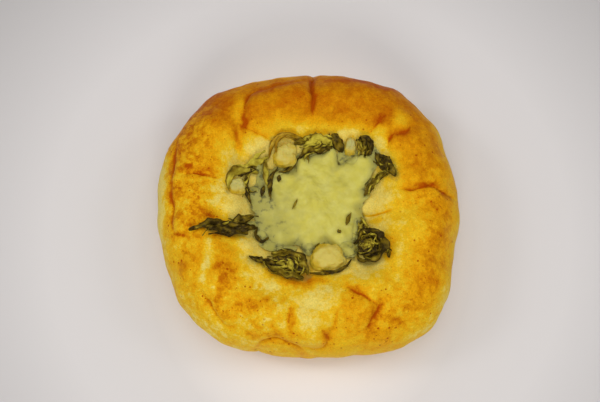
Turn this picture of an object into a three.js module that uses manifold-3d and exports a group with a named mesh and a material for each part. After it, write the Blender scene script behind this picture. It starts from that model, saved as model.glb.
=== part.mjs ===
// A baked savoury bun: a puffed, folded ring of soft dough round a shallow crater that holds
// pickled leaf greens, a few soft lumps of filling and a pool of melted cheese.
// Millimetres, +Z up. The bun rests on its flat underside, centred on the origin, and the side
// that the picture shows lowest faces -Y.
import * as THREE from 'three';
import { mergeVertices } from 'three/addons/utils/BufferGeometryUtils.js';
import Module from 'manifold-3d';

// Driving dimensions of the dough ring.
const BUN_RADIUS = 56.8;
const DEPTH_TO_WIDTH = 0.975;
const CREST_HEIGHT = 32;
const CRATER_DEPTH = 8.5;
const WIDEST_HEIGHT = 13;
const CREST_AT = 0.7; // share of the outline radius
const CRATER_FLOOR_AT = 0.2;
const BASE_AT = 0.8;
const SHOULDER_POWER = 2.2;
const UNDERSIDE_POWER = 2;
const CORNER_SWELL = 0.022; // how far the round outline leans towards a rounded square

// Driving dimensions of what fills the crater.
const CHEESE_CENTRE = [1.5, 1.8];
const CHEESE_RADIUS = 17.3;
const CHEESE_THICKNESS = 4.6; // at the middle
const CHEESE_LOBE_THICKNESS = 1.6;
const CHEESE_DOME = 16; // how far out the thick middle reaches
const CHEESE_FEATHER = 9; // how far in from its edge the pool is still thinning out
const LEAF_THICKNESS = 1.0;
const CLEARANCE = 0.3; // between pieces that rest on or beside each other
const CHEESE_BED_GAP = 0.5; // under the pool, where the crust's facets stray furthest
const LUMP_SQUARENESS = 2.8; // 2 is an ellipsoid
const LUMP_SEAT = 0.15; // height of a lump's middle over the crust, as a share of its half height
const CORE_SEAT = 0.35; // the same for the heart of a bundle of greens

// How finely each kind of piece is divided.
const BUN_SIDES = 96;
const CHEESE_SIDES = 60;
const CHEESE_RINGS = 12;
const LUMP_SHAPE = { detail: 2, squareness: LUMP_SQUARENESS, seat: LUMP_SEAT };
const CORE_SHAPE = { detail: 1 };
const FOLD_STEPS = 10;

const DEGREE = Math.PI / 180;
const UP = [0, 1]; // [outward, upward] direction of the open top

// Where the outline swells or is pinched: angle and spread in degrees, reach in millimetres.
const OUTLINE_SWELLS = [
  { angle: 17, reach: -1.2, spread: 9 },
  { angle: 54, reach: 2.0, spread: 12 },
  { angle: 88, reach: -0.7, spread: 4 },
  { angle: 105, reach: -1.6, spread: 10 },
  { angle: 128, reach: 0.9, spread: 14 },
  { angle: 160, reach: 1.2, spread: 12 },
  { angle: 200, reach: -1.4, spread: 8 },
  { angle: 265, reach: -1.4, spread: 32 },
  { angle: 314, reach: 4.0, spread: 17 },
  { angle: 340, reach: -0.9, spread: 12 },
];

// Folds pressed into the dough. Each runs through three points of the plan view; depth is that of
// the crease, width its half width, and lips the swell on its left and right sides.
const FOLDS = [
  // back rim
  { path: [[1.8, 52], [1.1, 43], [1.9, 33]], depth: 2.2, width: 1.5, lips: [1, 1.1] },
  { path: [[-20.5, 42], [-23.8, 34], [-22.5, 27.4]], depth: 1.6, width: 1.5, lips: [1, 0.1] },
  { path: [[-22.8, 28], [-19, 26], [-13, 23.6]], depth: 0.9, width: 1.5, lips: [0.6, 0.2] },
  { path: [[-25, 29], [-26, 24], [-27, 18.4]], depth: 0.8, width: 1.5, lips: [0, 0.6] },
  { path: [[-21, 42], [-12, 43.6], [-1, 46]], depth: 0.4, width: 1.5, lips: [0.1, 0.5] },
  { path: [[28.8, 19.4], [29.4, 23.6], [32.4, 24.4]], depth: 1.1, width: 1.5, lips: [0.3, 0.6] },
  { path: [[32.4, 24.4], [35.8, 25.8], [37.2, 29]], depth: 0.9, width: 1.5, lips: [0.4, 0.5] },
  { path: [[22, 25.6], [25, 28.6], [28.4, 32.8]], depth: 1, width: 1.5, lips: [0.5, 0.1] },
  // left rim
  { path: [[-45, 9.7], [-39, 9.2], [-31.5, 8.4]], depth: 1.6, width: 1.5, lips: [0.7, 0.4] },
  { path: [[-48.2, 24], [-49.2, 15], [-49, 6]], depth: 1.1, width: 1.6, lips: [0.7, -0.1] },
  { path: [[-49, 6], [-48.8, -3], [-48, -11.4]], depth: 1.1, width: 1.6, lips: [0.7, -0.1] },
  { path: [[-48, -11.4], [-45.8, -13.2], [-41.6, -14]], depth: 1, width: 1.5, lips: [0.6, 0.2] },
  { path: [[-37.1, -33.5], [-33.6, -38.6], [-30.6, -43.4]], depth: 1.3, width: 1.5, lips: [1, 0.5] },
  { path: [[-31.2, -43.2], [-28, -44.4], [-24.5, -44]], depth: 0.8, width: 1.5, lips: [0.4, 0.2] },
  // front rim
  { path: [[-18.2, -50], [-11, -48.7], [-3.2, -51.9]], depth: 1.5, width: 1.5, lips: [0.9, 0.3] },
  { path: [[-2, -51.5], [6.5, -50], [3, -45.5]], depth: 1.5, width: 1.5, lips: [1, 0.2] },
  { path: [[-6.2, -38.5], [-6.8, -42], [-6.4, -46]], depth: 1, width: 1.5, lips: [0.3, 0.3] },
  { path: [[10, -39], [9.6, -43], [7.6, -47.5]], depth: 1.1, width: 1.5, lips: [0.4, 0.5] },
  { path: [[13.2, -31.9], [18, -35], [23.5, -38]], depth: 1, width: 1.5, lips: [0.5, 0.5] },
  { path: [[25.2, -37], [22.8, -41.6], [20, -46]], depth: 1.2, width: 1.5, lips: [0.4, 1] },
  { path: [[28, -43], [31, -42.6], [34, -42]], depth: 0.8, width: 1.5, lips: [0.2, 0.3] },
  // right rim
  { path: [[19.5, -4.4], [24.4, -4.2], [29.5, -3.6]], depth: 1.4, width: 1.5, lips: [0.6, 0.6] },
  { path: [[33, 4.6], [40, 4.3], [46, 7.8]], depth: 1.5, width: 1.5, lips: [0.8, 0.5] },
  { path: [[43, 5], [48, 3.8], [53, 2.4]], depth: 1.2, width: 1.5, lips: [0.6, 0.5] },
];

// Soft swells of the dough between the folds: centre, half sizes and turn of each.
const PILLOWS = [
  // lobes of the rim, from the back round by the left
  { at: [-9.5, 37], size: [13, 11], turn: 10, height: 1.6 },
  { at: [-38, 24], size: [14, 15], turn: 40, height: 1.1 },
  { at: [-40, -2], size: [9, 11], turn: 0, height: 0.6 },
  { at: [-33, -25], size: [14, 14], turn: 30, height: 1.0 },
  { at: [-17, -40], size: [13, 9], turn: -10, height: 1.1 },
  { at: [0.5, -45.5], size: [8, 7.5], turn: 0, height: 1.5 },
  { at: [14.5, -41.5], size: [9, 7], turn: 10, height: 0.9 },
  { at: [42, -17], size: [13, 20], turn: -12, height: 1.3 },
  { at: [40, 18], size: [13, 15], turn: -20, height: 1.5 },
  { at: [33, 31.5], size: [5, 6], turn: -40, height: 0.9 },
  { at: [15, 38], size: [17, 11], turn: -14, height: 1.7 },
  // swells and a hollow of the crater's wall
  { at: [29, 0.5], size: [9, 6], turn: 0, height: 1.4 },
  { at: [30, -9], size: [5, 4], turn: 0, height: 0.9 },
  { at: [21, -30], size: [11, 7], turn: 20, height: 1.3 },
  { at: [-22, -16], size: [7, 4], turn: -20, height: 1.2 },
  { at: [-27.5, -1.2], size: [7, 6], turn: 0, height: 1.6 },
  { at: [-20, 22], size: [8, 6], turn: 25, height: 0.9 },
  { at: [-14, -31], size: [14, 8], turn: -20, height: -0.5 },
];

// Slow unevenness of the whole crust: wavelength, heading, phase in radians, height.
const CRUST_WAVES = [
  { length: 27, heading: 20, phase: 0.4, height: 0.35 },
  { length: 19, heading: 105, phase: 1.9, height: 0.3 },
  { length: 13, heading: 62, phase: 3.1, height: 0.2 },
  { length: 10, heading: 150, phase: 5.0, height: 0.15 },
];

// Lobes of the cheese's outline round its centre.
const CHEESE_LOBES = [
  { angle: 18, reach: 1.6, spread: 8 },
  { angle: 34, reach: 9.4, spread: 14 },
  { angle: 68, reach: 3.2, spread: 8 },
  { angle: 126, reach: -3.2, spread: 15 },
  { angle: 151, reach: 4.4, spread: 12 },
  { angle: 175, reach: 2.6, spread: 12 },
  { angle: 190, reach: 4.8, spread: 24 },
  { angle: 214, reach: 5, spread: 9 },
  { angle: 231, reach: 4.2, spread: 13 },
  { angle: 264, reach: 3.2, spread: 7 },
  { angle: 285, reach: -1.4, spread: 8 },
  { angle: 303, reach: 9, spread: 9 },
  { angle: 321, reach: 4.2, spread: 10 },
  { angle: 337, reach: 1.6, spread: 8 },
  { angle: 358, reach: 1.4, spread: 9 },
];

const CHEESE_WAVES = [
  { length: 12, heading: 35, phase: 0.8, height: 0.4 },
  { length: 8, heading: 120, phase: 2.2, height: 0.25 },
];

// Soft lumps of filling that push up between the greens.
const LUMPS = [
  { name: 'lump_back', at: [-8.5, 18.4], size: [4.4, 4.6, 3.8], turn: 0 },
  { name: 'lump_back_right', at: [15.1, 21.2], size: [2.2, 3.3, 3.2], turn: 0 },
  { name: 'lump_front', at: [6.8, -20], size: [6.6, 5.5, 3.4], turn: 6 },
  { name: 'lump_left', at: [-25.9, 5.8], size: [3.2, 3.1, 2.4], turn: 0 },
];

// Bundles of greens. Each leaf is a ribbon along points of the plan view: width and lift in
// millimetres, roll the tilt of the blade in degrees, ruffles the waves along it.
const GREENS = [
  {
    name: 'greens_left',
    core: { at: [-28, -10.6], size: [6.5, 1.8, 1.5], turn: 2 },
    leaves: [
      {
        path: [
          [-42.4, -11.8], [-39.4, -10.8], [-36.2, -9.6], [-33, -9],
          [-28.6, -9.4], [-23, -9.8], [-18.4, -9.4],
        ],
        width: 3,
        roll: 15,
        ruffles: 3,
      },
      {
        path: [[-36.4, -10.8], [-32.6, -11.2], [-28, -11.8], [-21.6, -11.6]],
        width: 3.8,
        roll: -20,
        ruffles: 2,
      },
      {
        path: [[-28, -9.2], [-25, -7.4], [-22.4, -6.4], [-19.8, -5]],
        width: 3.4,
        roll: 15,
        ruffles: 2,
      },
    ],
  },
  {
    name: 'greens_upper_left',
    core: { at: [-23.4, 11.4], size: [4, 1.4, 1.2], turn: 20 },
    leaves: [
      {
        path: [[-28.8, 3.6], [-28.4, 8], [-26.2, 10.8], [-23, 11.8], [-18.2, 11.6]],
        width: 3.2,
        roll: 35,
        ruffles: 2,
      },
      {
        path: [[-25, 12], [-21, 14.2], [-17.6, 15.8], [-14.6, 17.6]],
        width: 2.8,
        roll: -15,
        ruffles: 2,
      },
      { path: [[-22, 11], [-22.5, 4.6], [-20.8, 0]], width: 2.2, roll: 30, ruffles: 2 },
    ],
  },
  {
    name: 'stalk_back_left',
    core: { at: [-3.6, 24], size: [1.8, 0.9, 0.9], turn: 0 },
    leaves: [
      {
        path: [[-14.6, 17.4], [-13.4, 21.6], [-10.8, 24.8], [-7, 25.2], [-2.4, 23.8]],
        width: 1.8,
        roll: 35,
        ruffles: 1,
      },
    ],
  },
  {
    name: 'greens_back',
    core: { at: [4.4, 22.2], size: [4.4, 1.4, 1.2], turn: 0 },
    leaves: [
      {
        path: [[-3.8, 20.6], [-1.4, 22.2], [2, 23.6], [5.6, 23.8], [9.6, 22.2]],
        width: 4,
        roll: 20,
        ruffles: 2,
      },
      { path: [[-4, 16.8], [-0.6, 19.8], [4.6, 20.4], [8.6, 20.8]], width: 2.8, roll: -20, ruffles: 3 },
      { path: [[8.6, 25.4], [10, 22.8], [11.6, 19.6]], width: 4, roll: 10, ruffles: 1 },
    ],
  },
  {
    name: 'greens_back_right',
    core: { at: [21, 21.6], size: [1.8, 1.6, 1.2], turn: -40 },
    leaves: [
      {
        path: [[18.2, 23.6], [20.6, 22.8], [22.2, 20.2], [21.4, 17.2]],
        width: 3.6,
        roll: 15,
        ruffles: 2,
      },
      { path: [[18.4, 22.6], [18.8, 20.2], [19.9, 17.8]], width: 2.4, roll: -25, ruffles: 1 },
    ],
  },
  {
    name: 'greens_right',
    core: { at: [27.4, 13.2], size: [3, 2, 1.4], turn: -55 },
    leaves: [
      { path: [[23.8, 17.6], [26.6, 14.8], [29.4, 11.4], [31, 8.4]], width: 4.2, roll: 10, ruffles: 3 },
      {
        path: [[29.4, 10.4], [25.6, 9.4], [22.8, 6.6], [19.8, 2.6]],
        width: 2.8,
        roll: -15,
        ruffles: 2,
      },
    ],
  },
  {
    name: 'greens_front',
    core: { at: [-7.8, -24], size: [5.6, 3.4, 1.6], turn: -22 },
    leaves: [
      {
        path: [[-21.2, -20.6], [-17.6, -22], [-14, -22.6], [-10, -22.4]],
        width: 2.6,
        roll: -10,
        ruffles: 3,
      },
      {
        path: [[-13.4, -19], [-8.4, -18.6], [-3.8, -20.4], [-1.6, -23.6], [-0.4, -27]],
        width: 4.2,
        roll: 25,
        ruffles: 3,
      },
      {
        path: [[-15.4, -23.8], [-11.4, -25.8], [-6.8, -27.4], [-1.8, -28.6]],
        width: 3.6,
        roll: -20,
        ruffles: 3,
      },
      { path: [[-11.6, -23.2], [-7.6, -22.8], [-4.2, -26.2]], width: 3.8, roll: 10, ruffles: 2 },
    ],
  },
  {
    name: 'shred_front',
    core: { at: [6, -26.2], size: [1.8, 0.7, 0.7], turn: 0 },
    leaves: [
      {
        path: [[0.2, -26.4], [4, -26.6], [9.6, -26], [13, -24], [15, -21.2]],
        width: 1.5,
        roll: 10,
        ruffles: 3,
      },
    ],
  },
  {
    name: 'greens_curl',
    core: { at: [21.7, -17], size: [4.2, 4, 1.4], turn: 0 },
    leaves: [
      {
        path: [
          [15.6, -15.6], [17.8, -13.4], [19.2, -10.8], [22.2, -11.2], [25, -12.8], [26.3, -15.8],
          [25.9, -19], [23.3, -21.6], [19.9, -22.4], [17.3, -21], [17.1, -18.6],
        ],
        width: 3.6,
        roll: 45,
        ruffles: 6,
      },
      { path: [[19.2, -16.8], [21.2, -15.8], [22.8, -17]], width: 3, roll: 20, ruffles: 1 },
      { path: [[20, -12], [18.8, -9], [19.4, -5.8]], width: 2.2, roll: 15, ruffles: 1 },
      { path: [[26, -16.6], [27.6, -18.6], [28.2, -21.4]], width: 1.6, roll: 0, ruffles: 1 },
    ],
  },
];

// Small shreds that lie in the top of the cheese.
const CHEESE_SHREDS = [
  { path: [[15.1, -3.6], [14.1, -6], [13.3, -8.3]], width: 1.6, roll: 0, ruffles: 1 },
  { path: [[10.1, -10.3], [11.4, -11.2]], width: 1.4, roll: 0, ruffles: 1 },
  { path: [[-16.3, 7.2], [-17, 2.4]], width: 1.7, roll: 0, ruffles: 1 },
  {
    path: [[-11.2, 14.4], [-13.4, 10.6], [-14.2, 6.8], [-13.7, 1.2]],
    width: 1.9,
    roll: 20,
    ruffles: 1,
  },
  { path: [[-15.9, 17], [-15.5, 11], [-15.1, 7]], width: 2.4, roll: -20, ruffles: 1 },
  { path: [[-10.9, 10.9], [-10.8, 8.4]], width: 1.5, roll: 0, ruffles: 1 },
  { path: [[1.2, -21], [1.6, -17.4], [3.8, -14.4]], width: 1, roll: 0, ruffles: 1 },
  { path: [[-11, 12.2], [-8.6, 12.8], [-6.2, 14.6], [-3.6, 17.4]], width: 1.5, roll: 10, ruffles: 2 },
  { path: [[-4.2, 1.4], [-4.9, -0.6], [-6, -2.6]], width: 0.8, roll: 0, ruffles: 1 },
  {
    path: [[-18.4, -9], [-18.9, -12], [-16.7, -14.2], [-14.3, -12.6]],
    width: 1.5,
    roll: 0,
    ruffles: 2,
  },
];

const smooth = (t) => {
  const u = Math.min(1, Math.max(0, t));
  return u * u * (3 - 2 * u);
};

// Sum of bell-shaped swells round a circle at one angle, in radians.
function swells(list, angle) {
  return list.reduce((sum, swell) => {
    const turn = Math.atan2(Math.sin(angle - swell.angle * DEGREE), Math.cos(angle - swell.angle * DEGREE));
    return sum + swell.reach * Math.exp(-((turn / (swell.spread * DEGREE)) ** 2));
  }, 0);
}

function waves(list, x, y) {
  return list.reduce((sum, wave) => {
    const along = x * Math.cos(wave.heading * DEGREE) + y * Math.sin(wave.heading * DEGREE);
    return sum + wave.height * Math.sin((2 * Math.PI * along) / wave.length + wave.phase);
  }, 0);
}

const outlineRadius = (angle) =>
  BUN_RADIUS * (1 - CORNER_SWELL * Math.cos(4 * angle)) + swells(OUTLINE_SWELLS, angle);

// Height of the plain crust at a share of the outline radius, before folds and pillows.
function crustHeight(share) {
  if (share <= CREST_AT) {
    const rise = smooth((share - CRATER_FLOOR_AT) / (CREST_AT - CRATER_FLOOR_AT));
    return CREST_HEIGHT - CRATER_DEPTH * (1 - rise);
  }
  const out = Math.min(1, (share - CREST_AT) / (1 - CREST_AT));
  const fall = (1 - out ** SHOULDER_POWER) ** (1 / SHOULDER_POWER);
  return WIDEST_HEIGHT + (CREST_HEIGHT - WIDEST_HEIGHT) * fall;
}

// A fold's centre line: the quadratic curve through its three points.
function foldLine({ path: [start, middle, end] }) {
  const bend = middle.map((m, i) => 2 * m - (start[i] + end[i]) / 2);
  const curve = new THREE.QuadraticBezierCurve(
    new THREE.Vector2(...start), new THREE.Vector2(...bend), new THREE.Vector2(...end));
  return curve.getPoints(FOLD_STEPS);
}

const FOLD_LINES = FOLDS.map((fold) => ({ ...fold, line: foldLine(fold) }));

// The nearest place on a fold's line: its distance, the side it lies on (-1 right to 1 left) and
// how far along the line it is.
function nearestOnFold(line, x, y) {
  let best = { distance: Infinity, side: 0, along: 0 };
  for (let i = 0; i + 1 < line.length; i++) {
    const a = line[i];
    const dx = line[i + 1].x - a.x;
    const dy = line[i + 1].y - a.y;
    const length = Math.hypot(dx, dy);
    const t = Math.min(1, Math.max(0, ((x - a.x) * dx + (y - a.y) * dy) / length ** 2));
    const offX = x - a.x - t * dx;
    const offY = y - a.y - t * dy;
    const distance = Math.hypot(offX, offY);
    if (distance < best.distance) {
      const side = distance > 0 ? (dx * offY - dy * offX) / (length * distance) : 0;
      best = { distance, side, along: (i + t) / (line.length - 1) };
    }
  }
  return best;
}

const LIP_TO_CREASE = 2.6; // a lip crests this many crease widths from the line
const FOLD_END = 0.4; // share of its depth that a crease keeps at its ends

function foldRelief(fold, x, y) {
  const { distance, side, along } = nearestOnFold(fold.line, x, y);
  const strength = FOLD_END + (1 - FOLD_END) * Math.sqrt(Math.max(0, Math.sin(Math.PI * along)));
  const lip = fold.lips[1] + ((fold.lips[0] - fold.lips[1]) * (side + 1)) / 2;
  const reach = distance / (fold.width * LIP_TO_CREASE);
  return strength * (lip * reach * Math.exp(1 - reach) - fold.depth * Math.exp(-distance / fold.width));
}

function pillowRelief({ at, size, turn, height }, x, y) {
  const c = Math.cos(turn * DEGREE);
  const s = Math.sin(turn * DEGREE);
  const u = ((x - at[0]) * c + (y - at[1]) * s) / size[0];
  const v = ((y - at[1]) * c - (x - at[0]) * s) / size[1];
  const left = 1 - u * u - v * v;
  return left > 0 ? height * left * left : 0;
}

// Everything that lifts or dents the crust at a point of the plan view.
const relief = (x, y) =>
  FOLD_LINES.reduce((sum, fold) => sum + foldRelief(fold, x, y), 0) +
  PILLOWS.reduce((sum, pillow) => sum + pillowRelief(pillow, x, y), 0) +
  waves(CRUST_WAVES, x, y);

// Height of the finished crust where it is open to the top.
function bed(x, y) {
  const angle = Math.atan2(y / DEPTH_TO_WIDTH, x);
  const share = Math.hypot(x, y / DEPTH_TO_WIDTH) / outlineRadius(angle);
  return crustHeight(share) + relief(x, y);
}

// The ring's section from the middle of the crater over the crest to the middle of the underside:
// share of the outline radius, height, the direction that relief pushes and how much of it counts.
function bunSection() {
  const stations = [];
  const craterStops = [0, 0.14, 0.26, 0.36, 0.44];
  craterStops.forEach((share) => stations.push({ share, push: UP, keep: 1 }));
  const crestSteps = 7;
  const last = craterStops.at(-1);
  for (let i = 1; i <= crestSteps; i++)
    stations.push({ share: last + ((CREST_AT - last) * i) / crestSteps, push: UP, keep: 1 });
  stations.forEach((station) => { station.height = crustHeight(station.share); });
  const shoulderSteps = 10;
  for (let i = 1; i <= shoulderSteps; i++) {
    const turn = (i / shoulderSteps) * (Math.PI / 2);
    stations.push({
      share: CREST_AT + (1 - CREST_AT) * Math.sin(turn) ** (2 / SHOULDER_POWER),
      height: WIDEST_HEIGHT + (CREST_HEIGHT - WIDEST_HEIGHT) * Math.cos(turn) ** (2 / SHOULDER_POWER),
      push: [Math.sin(turn), Math.cos(turn)],
      keep: 1,
    });
  }
  const undersideSteps = 4;
  for (let i = 1; i <= undersideSteps; i++) {
    const turn = (i / undersideSteps) * (Math.PI / 2);
    stations.push({
      share: BASE_AT + (1 - BASE_AT) * Math.cos(turn) ** (2 / UNDERSIDE_POWER),
      height: WIDEST_HEIGHT * (1 - Math.sin(turn) ** (2 / UNDERSIDE_POWER)),
      push: [1, 0],
      keep: 1 - smooth(i / undersideSteps),
    });
  }
  [0.45, 0].forEach((share) => stations.push({ share: share * BASE_AT, height: 0, push: UP, keep: 0 }));
  return stations;
}

function bunGeometry() {
  const section = bunSection();
  const profile = section.map(({ share, height }) => new THREE.Vector2(share, height)).reverse();
  const geometry = new THREE.LatheGeometry(profile, BUN_SIDES);
  geometry.rotateX(Math.PI / 2);
  const { position, uv } = geometry.attributes;
  for (let i = 0; i < position.count; i++) {
    const station = section[section.length - 1 - Math.round(uv.getY(i) * (section.length - 1))];
    const angle = Math.atan2(position.getY(i), position.getX(i));
    const radius = station.share * outlineRadius(angle);
    const x = radius * Math.cos(angle);
    const y = radius * Math.sin(angle) * DEPTH_TO_WIDTH;
    const push = station.keep * relief(x, y);
    const outward = push * station.push[0];
    position.setXYZ(
      i,
      x + outward * Math.cos(angle),
      y + outward * Math.sin(angle),
      station.height + push * station.push[1],
    );
  }
  return geometry;
}

const cheeseRadius = (angle) =>
  CHEESE_RADIUS + swells(CHEESE_LOBES, angle) + 0.5 * Math.sin(11 * angle) + 0.4 * Math.sin(17 * angle + 1);

// Thickness of the pool: a thick middle, thinner lobes and nothing at its edge.
function cheeseThickness(x, y) {
  const across = x - CHEESE_CENTRE[0];
  const deep = y - CHEESE_CENTRE[1];
  const out = Math.hypot(across, deep);
  const inset = cheeseRadius(Math.atan2(deep, across)) - out;
  const thinned = Math.min(1, Math.max(0, 1 - inset / CHEESE_FEATHER)) ** 3;
  const extra = (CHEESE_THICKNESS - CHEESE_LOBE_THICKNESS) * Math.exp(-((out / CHEESE_DOME) ** 2));
  return (CHEESE_LOBE_THICKNESS + extra) * (1 + 0.2 * waves(CHEESE_WAVES, x, y)) * (1 - thinned);
}

// The cheese pool; grow widens and thickens it, to cut room for its neighbours.
function cheeseGeometry(grow = 0) {
  const geometry = new THREE.SphereGeometry(1, CHEESE_SIDES, CHEESE_RINGS);
  geometry.rotateX(Math.PI / 2);
  const { position } = geometry.attributes;
  for (let i = 0; i < position.count; i++) {
    const share = Math.hypot(position.getX(i), position.getY(i));
    const angle = Math.atan2(position.getY(i), position.getX(i));
    const lobes = cheeseRadius(angle) - CHEESE_RADIUS;
    const radius = share * (CHEESE_RADIUS + lobes * share ** 2 + grow);
    const x = CHEESE_CENTRE[0] + radius * Math.cos(angle);
    const y = CHEESE_CENTRE[1] + radius * Math.sin(angle);
    const rise = position.getZ(i) > 0 ? cheeseThickness(x, y) + grow : -grow;
    position.setXYZ(i, x, y, bed(x, y) + CHEESE_BED_GAP + rise);
  }
  return geometry;
}

// A rounded, slightly uneven lump that sits in the crust; squareness above 2 fills its corners out.
function lumpGeometry({ at, size, turn }, { detail, squareness = 2, seat = CORE_SEAT }, grow = 0) {
  const geometry = new THREE.IcosahedronGeometry(1, detail);
  const { position } = geometry.attributes;
  const c = Math.cos(turn * DEGREE);
  const s = Math.sin(turn * DEGREE);
  const [long, wide, high] = size.map((half) => half + grow);
  const base = bed(...at);
  for (let i = 0; i < position.count; i++) {
    const ball = [position.getX(i), position.getY(i), position.getZ(i)];
    const reach = ball.reduce((sum, part) => sum + Math.abs(part) ** squareness, 0) ** (1 / squareness);
    const [x, y, z] = ball.map((part) => part / reach);
    const uneven = 1 + 0.06 * Math.sin(5 * x + 3 * y + at[0]) + 0.05 * Math.sin(6 * y - 4 * z + at[1]);
    position.setXYZ(
      i,
      at[0] + uneven * (x * long * c - y * wide * s),
      at[1] + uneven * (x * long * s + y * wide * c),
      base + high * seat + uneven * z * high,
    );
  }
  return geometry;
}

// Closes a sheet of cells into a thin solid: both faces keep the sheet's own triangles.
function thicken(sheet, thickness, along, across) {
  sheet.computeVertexNormals();
  const { position, normal } = sheet.attributes;
  const count = position.count;
  const points = new Float32Array(count * 6);
  for (let i = 0; i < count; i++)
    for (const [side, start] of [[1, 0], [-1, count]])
      points.set(
        ['getX', 'getY', 'getZ'].map((get) => position[get](i) + (side * thickness * normal[get](i)) / 2),
        (start + i) * 3,
      );
  const top = [...sheet.index.array];
  const faces = [...top];
  for (let i = 0; i < top.length; i += 3) faces.push(top[i] + count, top[i + 2] + count, top[i + 1] + count);
  const rim = [];
  for (let i = 0; i < along; i++) rim.push(i);
  for (let j = 0; j < across; j++) rim.push(along + j * (along + 1));
  for (let i = along; i > 0; i--) rim.push(across * (along + 1) + i);
  for (let j = across; j > 0; j--) rim.push(j * (along + 1));
  rim.forEach((a, i) => {
    const b = rim[(i + 1) % rim.length];
    faces.push(a, b, a + count, b, b + count, a + count);
  });
  const closed = new THREE.BufferGeometry();
  closed.setAttribute('position', new THREE.BufferAttribute(points, 3));
  closed.setIndex(faces);
  return closed;
}

const LEAF_ACROSS = 2;
const LEAF_STEP = 2.8; // length of one cell along a leaf
const RUFFLE_HEIGHT = 0.5;

// One leaf or shred: a wavy ribbon that follows its path over the ground below it.
function leafGeometry({ path, width, roll, ruffles }, ground, grow = 0) {
  const curve = new THREE.CatmullRomCurve3(path.map(([x, y]) => new THREE.Vector3(x, y, 0)));
  const along = Math.max(4, Math.round(curve.getLength() / LEAF_STEP));
  const sheet = new THREE.PlaneGeometry(1, 1, along, LEAF_ACROSS);
  const { position } = sheet.attributes;
  for (let i = 0; i < position.count; i++) {
    const t = position.getX(i) + 0.5;
    const w = position.getY(i) * 2;
    const middle = curve.getPointAt(t);
    const heading = curve.getTangentAt(t);
    const taper = 0.3 + 0.7 * Math.sqrt(Math.sin(Math.PI * Math.min(0.97, Math.max(0.03, t))));
    const half = (width / 2) * taper + grow;
    const tilt = (roll + 18 * Math.sin(2 * Math.PI * ruffles * t + path[0][0])) * DEGREE;
    const sideways = w * half * Math.cos(tilt);
    const x = middle.x - heading.y * sideways + heading.x * grow * (2 * t - 1);
    const y = middle.y + heading.x * sideways + heading.y * grow * (2 * t - 1);
    const lift = (w + 1) * half * Math.abs(Math.sin(tilt)) +
      RUFFLE_HEIGHT * (1 + Math.sin(2 * Math.PI * ruffles * t + 2 * w));
    position.setXYZ(i, x, y, ground(x, y) + CLEARANCE + LEAF_THICKNESS / 2 + lift);
  }
  return thicken(sheet, LEAF_THICKNESS + 2 * grow, along, LEAF_ACROSS);
}

// Booleans between closed meshes.
const wasm = await Module();
wasm.setup();

function solid(geometry) {
  const bare = geometry.clone();
  bare.deleteAttribute('normal');
  bare.deleteAttribute('uv');
  const merged = mergeVertices(bare, 1e-3);
  return new wasm.Manifold(new wasm.Mesh({
    numProp: 3,
    vertProperties: new Float32Array(merged.attributes.position.array),
    triVerts: new Uint32Array(merged.index.array),
  }));
}

function geometryOf(body) {
  const { vertProperties, triVerts } = body.getMesh();
  const geometry = new THREE.BufferGeometry();
  geometry.setAttribute('position', new THREE.BufferAttribute(vertProperties, 3));
  geometry.setIndex(new THREE.BufferAttribute(triVerts, 1));
  return geometry;
}

const joined = (bodies) => bodies.reduce((sum, body) => sum.add(body));
const without = (body, cutters) => cutters.reduce((rest, cutter) => rest.subtract(cutter), body);
const largest = (body) => body.decompose().sort((a, b) => b.volume() - a.volume())[0];

const FINISHES = {
  crust: { color: 0xc98a2e, roughness: 0.55 },
  cheese: { color: 0xc4bb58, roughness: 0.35 },
  lump: { color: 0xd8c07a, roughness: 0.5 },
  greens: { color: 0x3d3c1c, roughness: 0.35 },
};

const bun = new THREE.Group();

function addPiece(name, body, finish) {
  const mesh = new THREE.Mesh(
    geometryOf(body), new THREE.MeshStandardMaterial({ ...FINISHES[finish], metalness: 0 }));
  mesh.name = name;
  bun.add(mesh);
}

const dough = solid(bunGeometry());
const doughRaised = solid(bunGeometry().translate(0, 0, CLEARANCE));
addPiece('bun', dough, 'crust');

const lumps = LUMPS.map((lump) => largest(without(solid(lumpGeometry(lump, LUMP_SHAPE)), [doughRaised])));
const lumpRooms = LUMPS.map((lump) => solid(lumpGeometry(lump, LUMP_SHAPE, CLEARANCE)));
LUMPS.forEach((lump, i) => addPiece(lump.name, lumps[i], 'lump'));

// Shreds lie half sunk in the cheese, and on the crust where they run off it.
const SHRED_SINK = LEAF_THICKNESS + CLEARANCE - CHEESE_BED_GAP;
const shredBed = (x, y) => bed(x, y) + Math.max(0, cheeseThickness(x, y) - SHRED_SINK);
const shreds = CHEESE_SHREDS.map((shred) => without(solid(leafGeometry(shred, shredBed)), [doughRaised]));
const pool = joined([solid(cheeseGeometry()), ...shreds]);
addPiece('cheese', largest(without(pool, lumpRooms)), 'cheese');
const cheeseRoom = joined([
  solid(cheeseGeometry(CLEARANCE)),
  ...CHEESE_SHREDS.map((shred) => solid(leafGeometry(shred, shredBed, CLEARANCE))),
]);

const bundle = ({ core, leaves }, grow) =>
  joined([
    solid(lumpGeometry(core, CORE_SHAPE, grow)),
    ...leaves.map((leaf) => solid(leafGeometry(leaf, bed, grow))),
  ]);
const taken = [doughRaised, cheeseRoom, ...lumpRooms];
for (const greens of GREENS) {
  addPiece(greens.name, largest(without(bundle(greens, 0), taken)), 'greens');
  taken.push(bundle(greens, CLEARANCE));
}

export default bun;
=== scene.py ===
"""Dresses a filled, baked bun: crust, melted cheese, soft lumps and pickled greens.

The shape tables and functions work in millimetres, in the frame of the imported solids. Vertices are
written in metres, so every finished piece has its place in its mesh.
"""
import math

import bmesh
import bpy
import numpy as np
from bpy.props import FloatProperty, FloatVectorProperty, IntProperty, PointerProperty
from mathutils import Matrix, Vector, noise


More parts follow.
